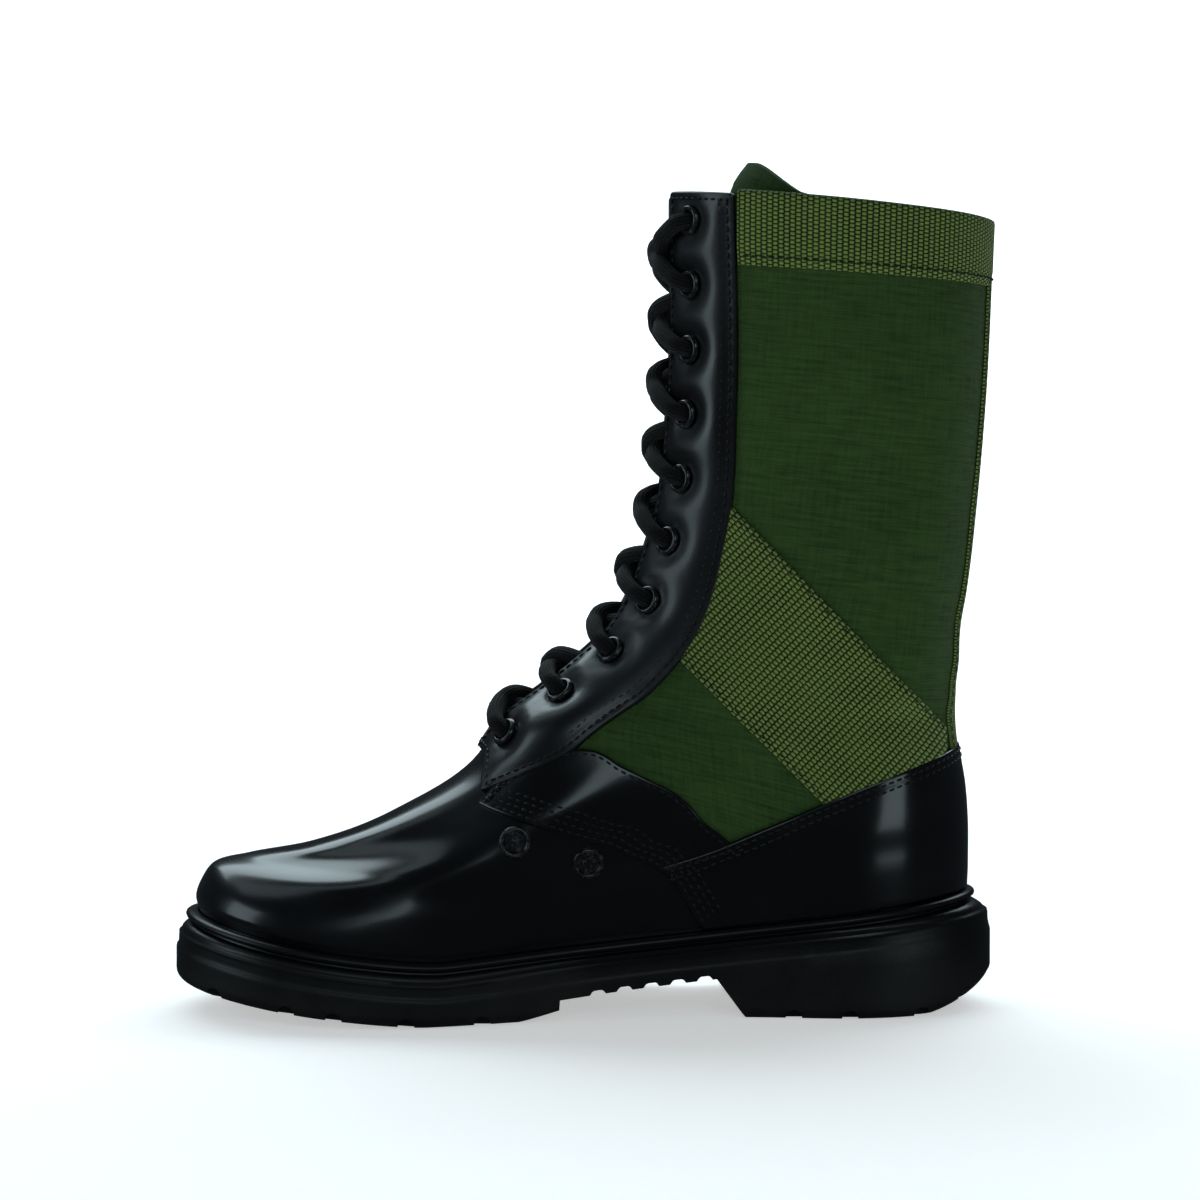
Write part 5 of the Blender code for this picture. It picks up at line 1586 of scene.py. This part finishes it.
class BOOT_OT_eyelets(bpy.types.Operator):
    """Sets the enamelled eyelets and the two screened drain vents"""

    bl_idname = "boot.eyelets"
    bl_label = "Eyelets and vents"

    # rings of holes in a vent's screen: radius of the ring, number and radius of the holes
    screen = ((2.6 * MM, 8, 0.48 * MM), (1.15 * MM, 4, 0.42 * MM))

    def execute(self, context):
        black = finish_named("Black enamel")
        base = LAYER_GAP + EYESTAY - 0.45 * MM
        hole, barrel, flange = 3.05 * MM, 3.55 * MM, 5.3 * MM
        end = -WALL - 0.6 * MM
        profile = [(hole, end), (barrel, end), (barrel, base), (flange, base)]
        profile += dome(flange, hole, base, 1.3 * MM)
        ring = turned_ring("eyelet", profile, 36)
        for side, word in SIDES:
            for n, (around, row) in enumerate(eyelet_points()):
                place, out = ground(side_turn(around, side), row)
                obj = copied(ring, f"boot_eyelet_{word}_{n + 1:02d}", place, out)
                obj.data.materials.append(black)
                settle(obj, "enamel", f"eyelet_{word}_{n + 1:02d}")
        bpy.data.objects.remove(ring)
        vent = self.vent()
        for n, (around, row) in enumerate(VENT_PLACES):
            place, out = ground(math.pi * around, row)
            obj = copied(vent, f"boot_drain_vent_{n + 1}", place, out)
            obj.data.materials.append(black)
            settle(obj, "enamel", f"drain_vent_{n + 1}")
        bpy.data.objects.remove(vent)
        return {"FINISHED"}

    def vent(self):
        """A domed ring round a sunk screen with a ring of holes and a cluster at its middle."""
        wide, barrel, inner, middle, low = 5.7 * MM, 3.9 * MM, 3.7 * MM, 0.3 * MM, 0.1 * MM
        profile = [(middle, -WALL), (barrel, -WALL), (barrel, low), (wide, low)]
        profile += dome(wide, inner, low, 1.6 * MM)
        profile += [(inner - 0.1 * MM, 0.55 * MM), (middle, 0.75 * MM)]
        ring = turned_ring("vent", profile, 40)
        deselect()
        cutters = []
        for radius, count, size in self.screen:
            for n in range(count):
                angle = 2 * math.pi * n / count
                bpy.ops.mesh.primitive_cylinder_add(
                    vertices=12, radius=size, depth=1.4 * MM,
                    location=(radius * math.cos(angle), radius * math.sin(angle), 0.7 * MM))
                cutters.append(bpy.context.object)
        for cutter in cutters:
            cutter.select_set(True)
        bpy.context.view_layer.objects.active = cutters[0]
        bpy.ops.object.join()
        carve(ring, bpy.context.object)
        bpy.ops.object.shade_smooth_by_angle(angle=math.radians(40))
        return ring


class BOOT_OT_lace(bpy.types.Operator):
    """Laces the boot: each strand leaves its eyelet, crosses over and goes under the far eyestay"""

    bl_idname = "boot.lace"
    bl_label = "Lace"

    # A strand's points. Across is 0 at the eyelet, 1 at the edge, 2 at the middle and 3 at the far
    # edge, climb is in eyelet steps, and height is off the skin in millimetres. Over and under are
    # the two strands of a crossing.
    over = (
        (-0.02, 0.0, -2.6), (0.06, 0.01, 1.6), (0.2, 0.05, 4.2), (0.5, 0.14, 4.9), (1.0, 0.30, 5.2),
        (1.5, 0.44, 5.4), (2.0, 0.58, 5.0), (2.45, 0.69, 3.2), (2.8, 0.76, 0.4), (3.15, 0.82, -3.8))
    under = (
        (-0.02, 0.0, -2.6), (0.06, 0.01, 1.6), (0.2, 0.05, 4.2), (0.5, 0.13, 4.7), (1.0, 0.26, 4.6),
        (1.5, 0.38, 3.4), (2.0, 0.48, 1.6), (2.45, 0.58, -0.2), (2.8, 0.65, -1.8),
        (3.15, 0.72, -4.0))
    end = (
        (-0.02, 0.0, -2.6), (0.06, -0.01, 1.6), (0.2, -0.04, 4.2), (0.5, -0.14, 5.0),
        (1.0, -0.32, 5.2), (1.3, -0.44, 3.2), (1.5, -0.54, 0.4))

    def execute(self, context):
        radius = sizes().lace_diameter / 2
        black = finish_named("Black lace")
        for level in range(EYELET_COUNT - 1):
            # the strand on top changes from level to level
            for side in (-1, 1):
                word = "over" if (level % 2 == 0) == (side < 0) else "under"
                route = self.route(level, side, getattr(self, word))
                obj = cord(f"boot_lace_{level + 1}_{word}", route, radius, black)
                settle(obj, "lace", f"lace_crossing_{level + 1}")
        for side, word in SIDES:
            route = self.route(EYELET_COUNT - 1, side, self.end)
            settle(cord("boot_lace_end_" + word, route, radius, black), "lace", "lace_end_" + word)
        return {"FINISHED"}

    def route(self, level, side, steps):
        """The points in space of a strand from the eyelet at a level."""
        points = []
        start = eyelet_around(eyelet_row(level))
        for across, climb, height in steps:
            row = eyelet_row(level + climb)
            edge = float(np.interp(row, THROAT_ROWS, THROAT_AROUNDS))
            if across <= 1:
                turn = side_turn(start + (edge - start) * across, side)
                points.append(ground(turn, row, height * MM)[0])
                continue
            place, out = ground(side_turn(edge, -side if across > 2 else side), row)
            front, ahead = ground(0.0, row)
            share = 0.9 * math.sin(0.5 * math.pi * min(across - 1, 3 - across))
            lean = out + (ahead - out) * max(share, 0.0)
            lean /= np.linalg.norm(lean)
            points.append(place + (front - place) * share + lean * height * MM)
        return points


class BOOT_OT_stage(bpy.types.Operator):
    """Sets the pale floor, the soft lights and the camera"""

    bl_idname = "boot.stage"
    bl_label = "Stage"

    # the floor's width and depth, how far it is moved from the middle, and the bend behind the boot
    floor_size = (12.0, 4.5)
    floor_shift = -0.65
    bend_step = 0.16
    backdrop_height = 2.0
    camera_place = (-0.0986, -1.10, 0.215)
    camera_tilt = -3.52
    lens = 90.75
    light_colour = (0.76, 0.94, 1.0)
    world_colour = (0.72, 0.86, 1.0)
    # name, place, point aimed at, width, height and power
    lamps = (
        ("Overhead box", (-0.80, 0.12, 1.20), (-0.15, -0.02, 0.06), 0.26, 0.50, 0.26),
        ("Side box", (-1.25, -0.36, 0.50), (-0.08, 0.0, 0.15), 0.5, 0.8, 2.3),
        ("Front fill", (0.3, -2.3, 1.35), (-0.1, 0.0, 0.15), 1.6, 0.9, 7.5),
        ("Heel box", (0.20, -0.24, 0.035), (0.0, -0.03, 0.062), 0.12, 0.06, 0.04),
        ("Backdrop light", (-0.1, 2.1, 2.6), (-0.1, 2.1, 0.0), 5.0, 2.0, 110.0),
    )

    def lay_floor(self):
        """A sheet of paper from in front of the camera, curved up behind the boot."""
        deselect()
        bpy.ops.mesh.primitive_plane_add(size=1)
        floor = bpy.context.object
        floor.name = "Floor"
        bpy.ops.object.mode_set(mode="EDIT")
        bpy.ops.transform.resize(value=(*self.floor_size, 1))
        bpy.ops.transform.translate(value=(0, self.floor_shift, 0))
        bpy.ops.mesh.select_all(action="DESELECT")
        bpy.ops.object.mode_set(mode="OBJECT")
        for vert in floor.data.vertices:
            vert.select = vert.co.y > 0
        for edge in floor.data.edges:
            edge.select = all(floor.data.vertices[v].select for v in edge.vertices)
        bpy.ops.object.mode_set(mode="EDIT")
        bpy.ops.mesh.select_mode(type="EDGE")
        for angle in np.linspace(0.05, 0.5 * math.pi, 14):
            step = (0, self.bend_step * math.cos(angle), self.bend_step * math.sin(angle))
            bpy.ops.mesh.extrude_region_move(TRANSFORM_OT_translate={"value": step})
        bpy.ops.mesh.extrude_region_move(
            TRANSFORM_OT_translate={"value": (0, 0, self.backdrop_height)})
        bpy.ops.object.mode_set(mode="OBJECT")
        bpy.ops.object.shade_smooth()
        paper = Finish("Pale floor", (0.9, 0.9, 0.9), 0.9, emission_strength=0.47)
        paper.shader.inputs["Emission Color"].default_value = (1, 1, 1, 1)
        grain = paper.noise(3.0, 2.0)
        paper.feed("Base Color", paper.mix(grain, (0.89, 0.89, 0.89), (0.91, 0.91, 0.91)))
        floor.data.materials.append(paper.material)
        floor.visible_glossy = False

    def execute(self, context):
        self.lay_floor()
        world = bpy.context.scene.world or bpy.data.worlds.new("Studio")
        bpy.context.scene.world = world
        world.use_nodes = True
        background = world.node_tree.nodes["Background"]
        background.inputs["Color"].default_value = (*self.world_colour, 1)
        background.inputs["Strength"].default_value = 0.04
        for name, place, aim, wide, high, power in self.lamps:
            bpy.ops.object.light_add(type="AREA", location=place)
            light = bpy.context.object
            light.name = name
            light.data.shape = "RECTANGLE"
            light.data.size, light.data.size_y = wide, high
            light.data.energy = power
            light.data.color = self.light_colour
            ahead = Vector(aim) - Vector(place)
            light.rotation_euler = ahead.to_track_quat("-Z", "Y").to_euler()
        bpy.ops.object.camera_add(location=self.camera_place,
                                  rotation=(math.radians(90 + self.camera_tilt), 0, 0))
        camera = bpy.context.object
        camera.data.lens = self.lens
        camera.data.sensor_width = 36
        camera.data.clip_start, camera.data.clip_end = 0.05, 60
        bpy.context.scene.camera = camera
        bpy.context.scene.view_settings.view_transform = "Standard"
        return {"FINISHED"}


class BootSizes(bpy.types.PropertyGroup):
    """The sizes and colours that a user would change"""

    leather_colour: FloatVectorProperty(
        name="Leather colour", description="Colour of the foot and eyestays",
        subtype="COLOR", size=3, min=0, max=1, default=(0.0012, 0.0016, 0.0022))
    canvas_colour: FloatVectorProperty(
        name="Canvas colour", description="Colour of the leg and tongue",
        subtype="COLOR", size=3, min=0, max=1, default=(0.0180, 0.0395, 0.0096))
    webbing_colour: FloatVectorProperty(
        name="Webbing colour", description="Colour of the side bands, back stay and collar binding",
        subtype="COLOR", size=3, min=0, max=1, default=(0.100, 0.148, 0.033))
    rubber_colour: FloatVectorProperty(
        name="Rubber colour", description="Colour of the sole",
        subtype="COLOR", size=3, min=0, max=1, default=(0.0022, 0.0025, 0.0028))
    canvas_thread: FloatProperty(
        name="Canvas thread", description="Pitch of the canvas's threads", unit="LENGTH",
        min=0.0002, max=0.003, precision=5, default=0.00055)
    lace_diameter: FloatProperty(
        name="Lace diameter", description="Thickness of the lace", unit="LENGTH",
        min=0.001, max=0.01, precision=5, default=0.0061)
    stitch_length: FloatProperty(
        name="Stitch length", description="Length of a stitch", unit="LENGTH",
        min=0.0005, max=0.01, precision=5, default=0.0024)
    stitch_pitch: FloatProperty(
        name="Stitch pitch", description="Distance from stitch to stitch", unit="LENGTH",
        min=0.0005, max=0.02, precision=5, default=0.0031)
    thread: FloatProperty(
        name="Thread", description="Thickness of the sewing thread", unit="LENGTH",
        min=0.0001, max=0.003, precision=5, default=0.0009)


OPERATORS = (BOOT_OT_upper, BOOT_OT_leather, BOOT_OT_webbing, BOOT_OT_tongue, BOOT_OT_sole,
             BOOT_OT_eyelets, BOOT_OT_lace, BOOT_OT_stage)


class BOOT_PT_panel(bpy.types.Panel):
    """Lists the boot's sizes and the steps that make it"""

    bl_idname = "BOOT_PT_panel"
    bl_label = "Jungle boot"
    bl_space_type = "VIEW_3D"
    bl_region_type = "UI"
    bl_category = "Boot"

    def draw(self, context):
        for name in BootSizes.__annotations__:
            self.layout.prop(context.scene.jungle_boot, name)
        for operator in OPERATORS:
            self.layout.operator(operator.bl_idname)


CLASSES = (BootSizes, *OPERATORS, BOOT_PT_panel)


def register():
    """Adds the classes and the boot's sizes to Blender."""
    for cls in CLASSES:
        bpy.utils.register_class(cls)
    bpy.types.Scene.jungle_boot = PointerProperty(type=BootSizes)


def unregister():
    """Takes them away again."""
    del bpy.types.Scene.jungle_boot
    for cls in reversed(CLASSES):
        bpy.utils.unregister_class(cls)


def main():
    """Dresses the boot and sets the stage."""
    register()
    bpy.ops.boot.upper()
    bpy.ops.boot.leather()
    bpy.ops.boot.webbing()
    bpy.ops.boot.tongue()
    bpy.ops.boot.sole()
    bpy.ops.boot.eyelets()
    bpy.ops.boot.lace()
    bpy.ops.boot.stage()


if __name__ == "__main__":
    main()
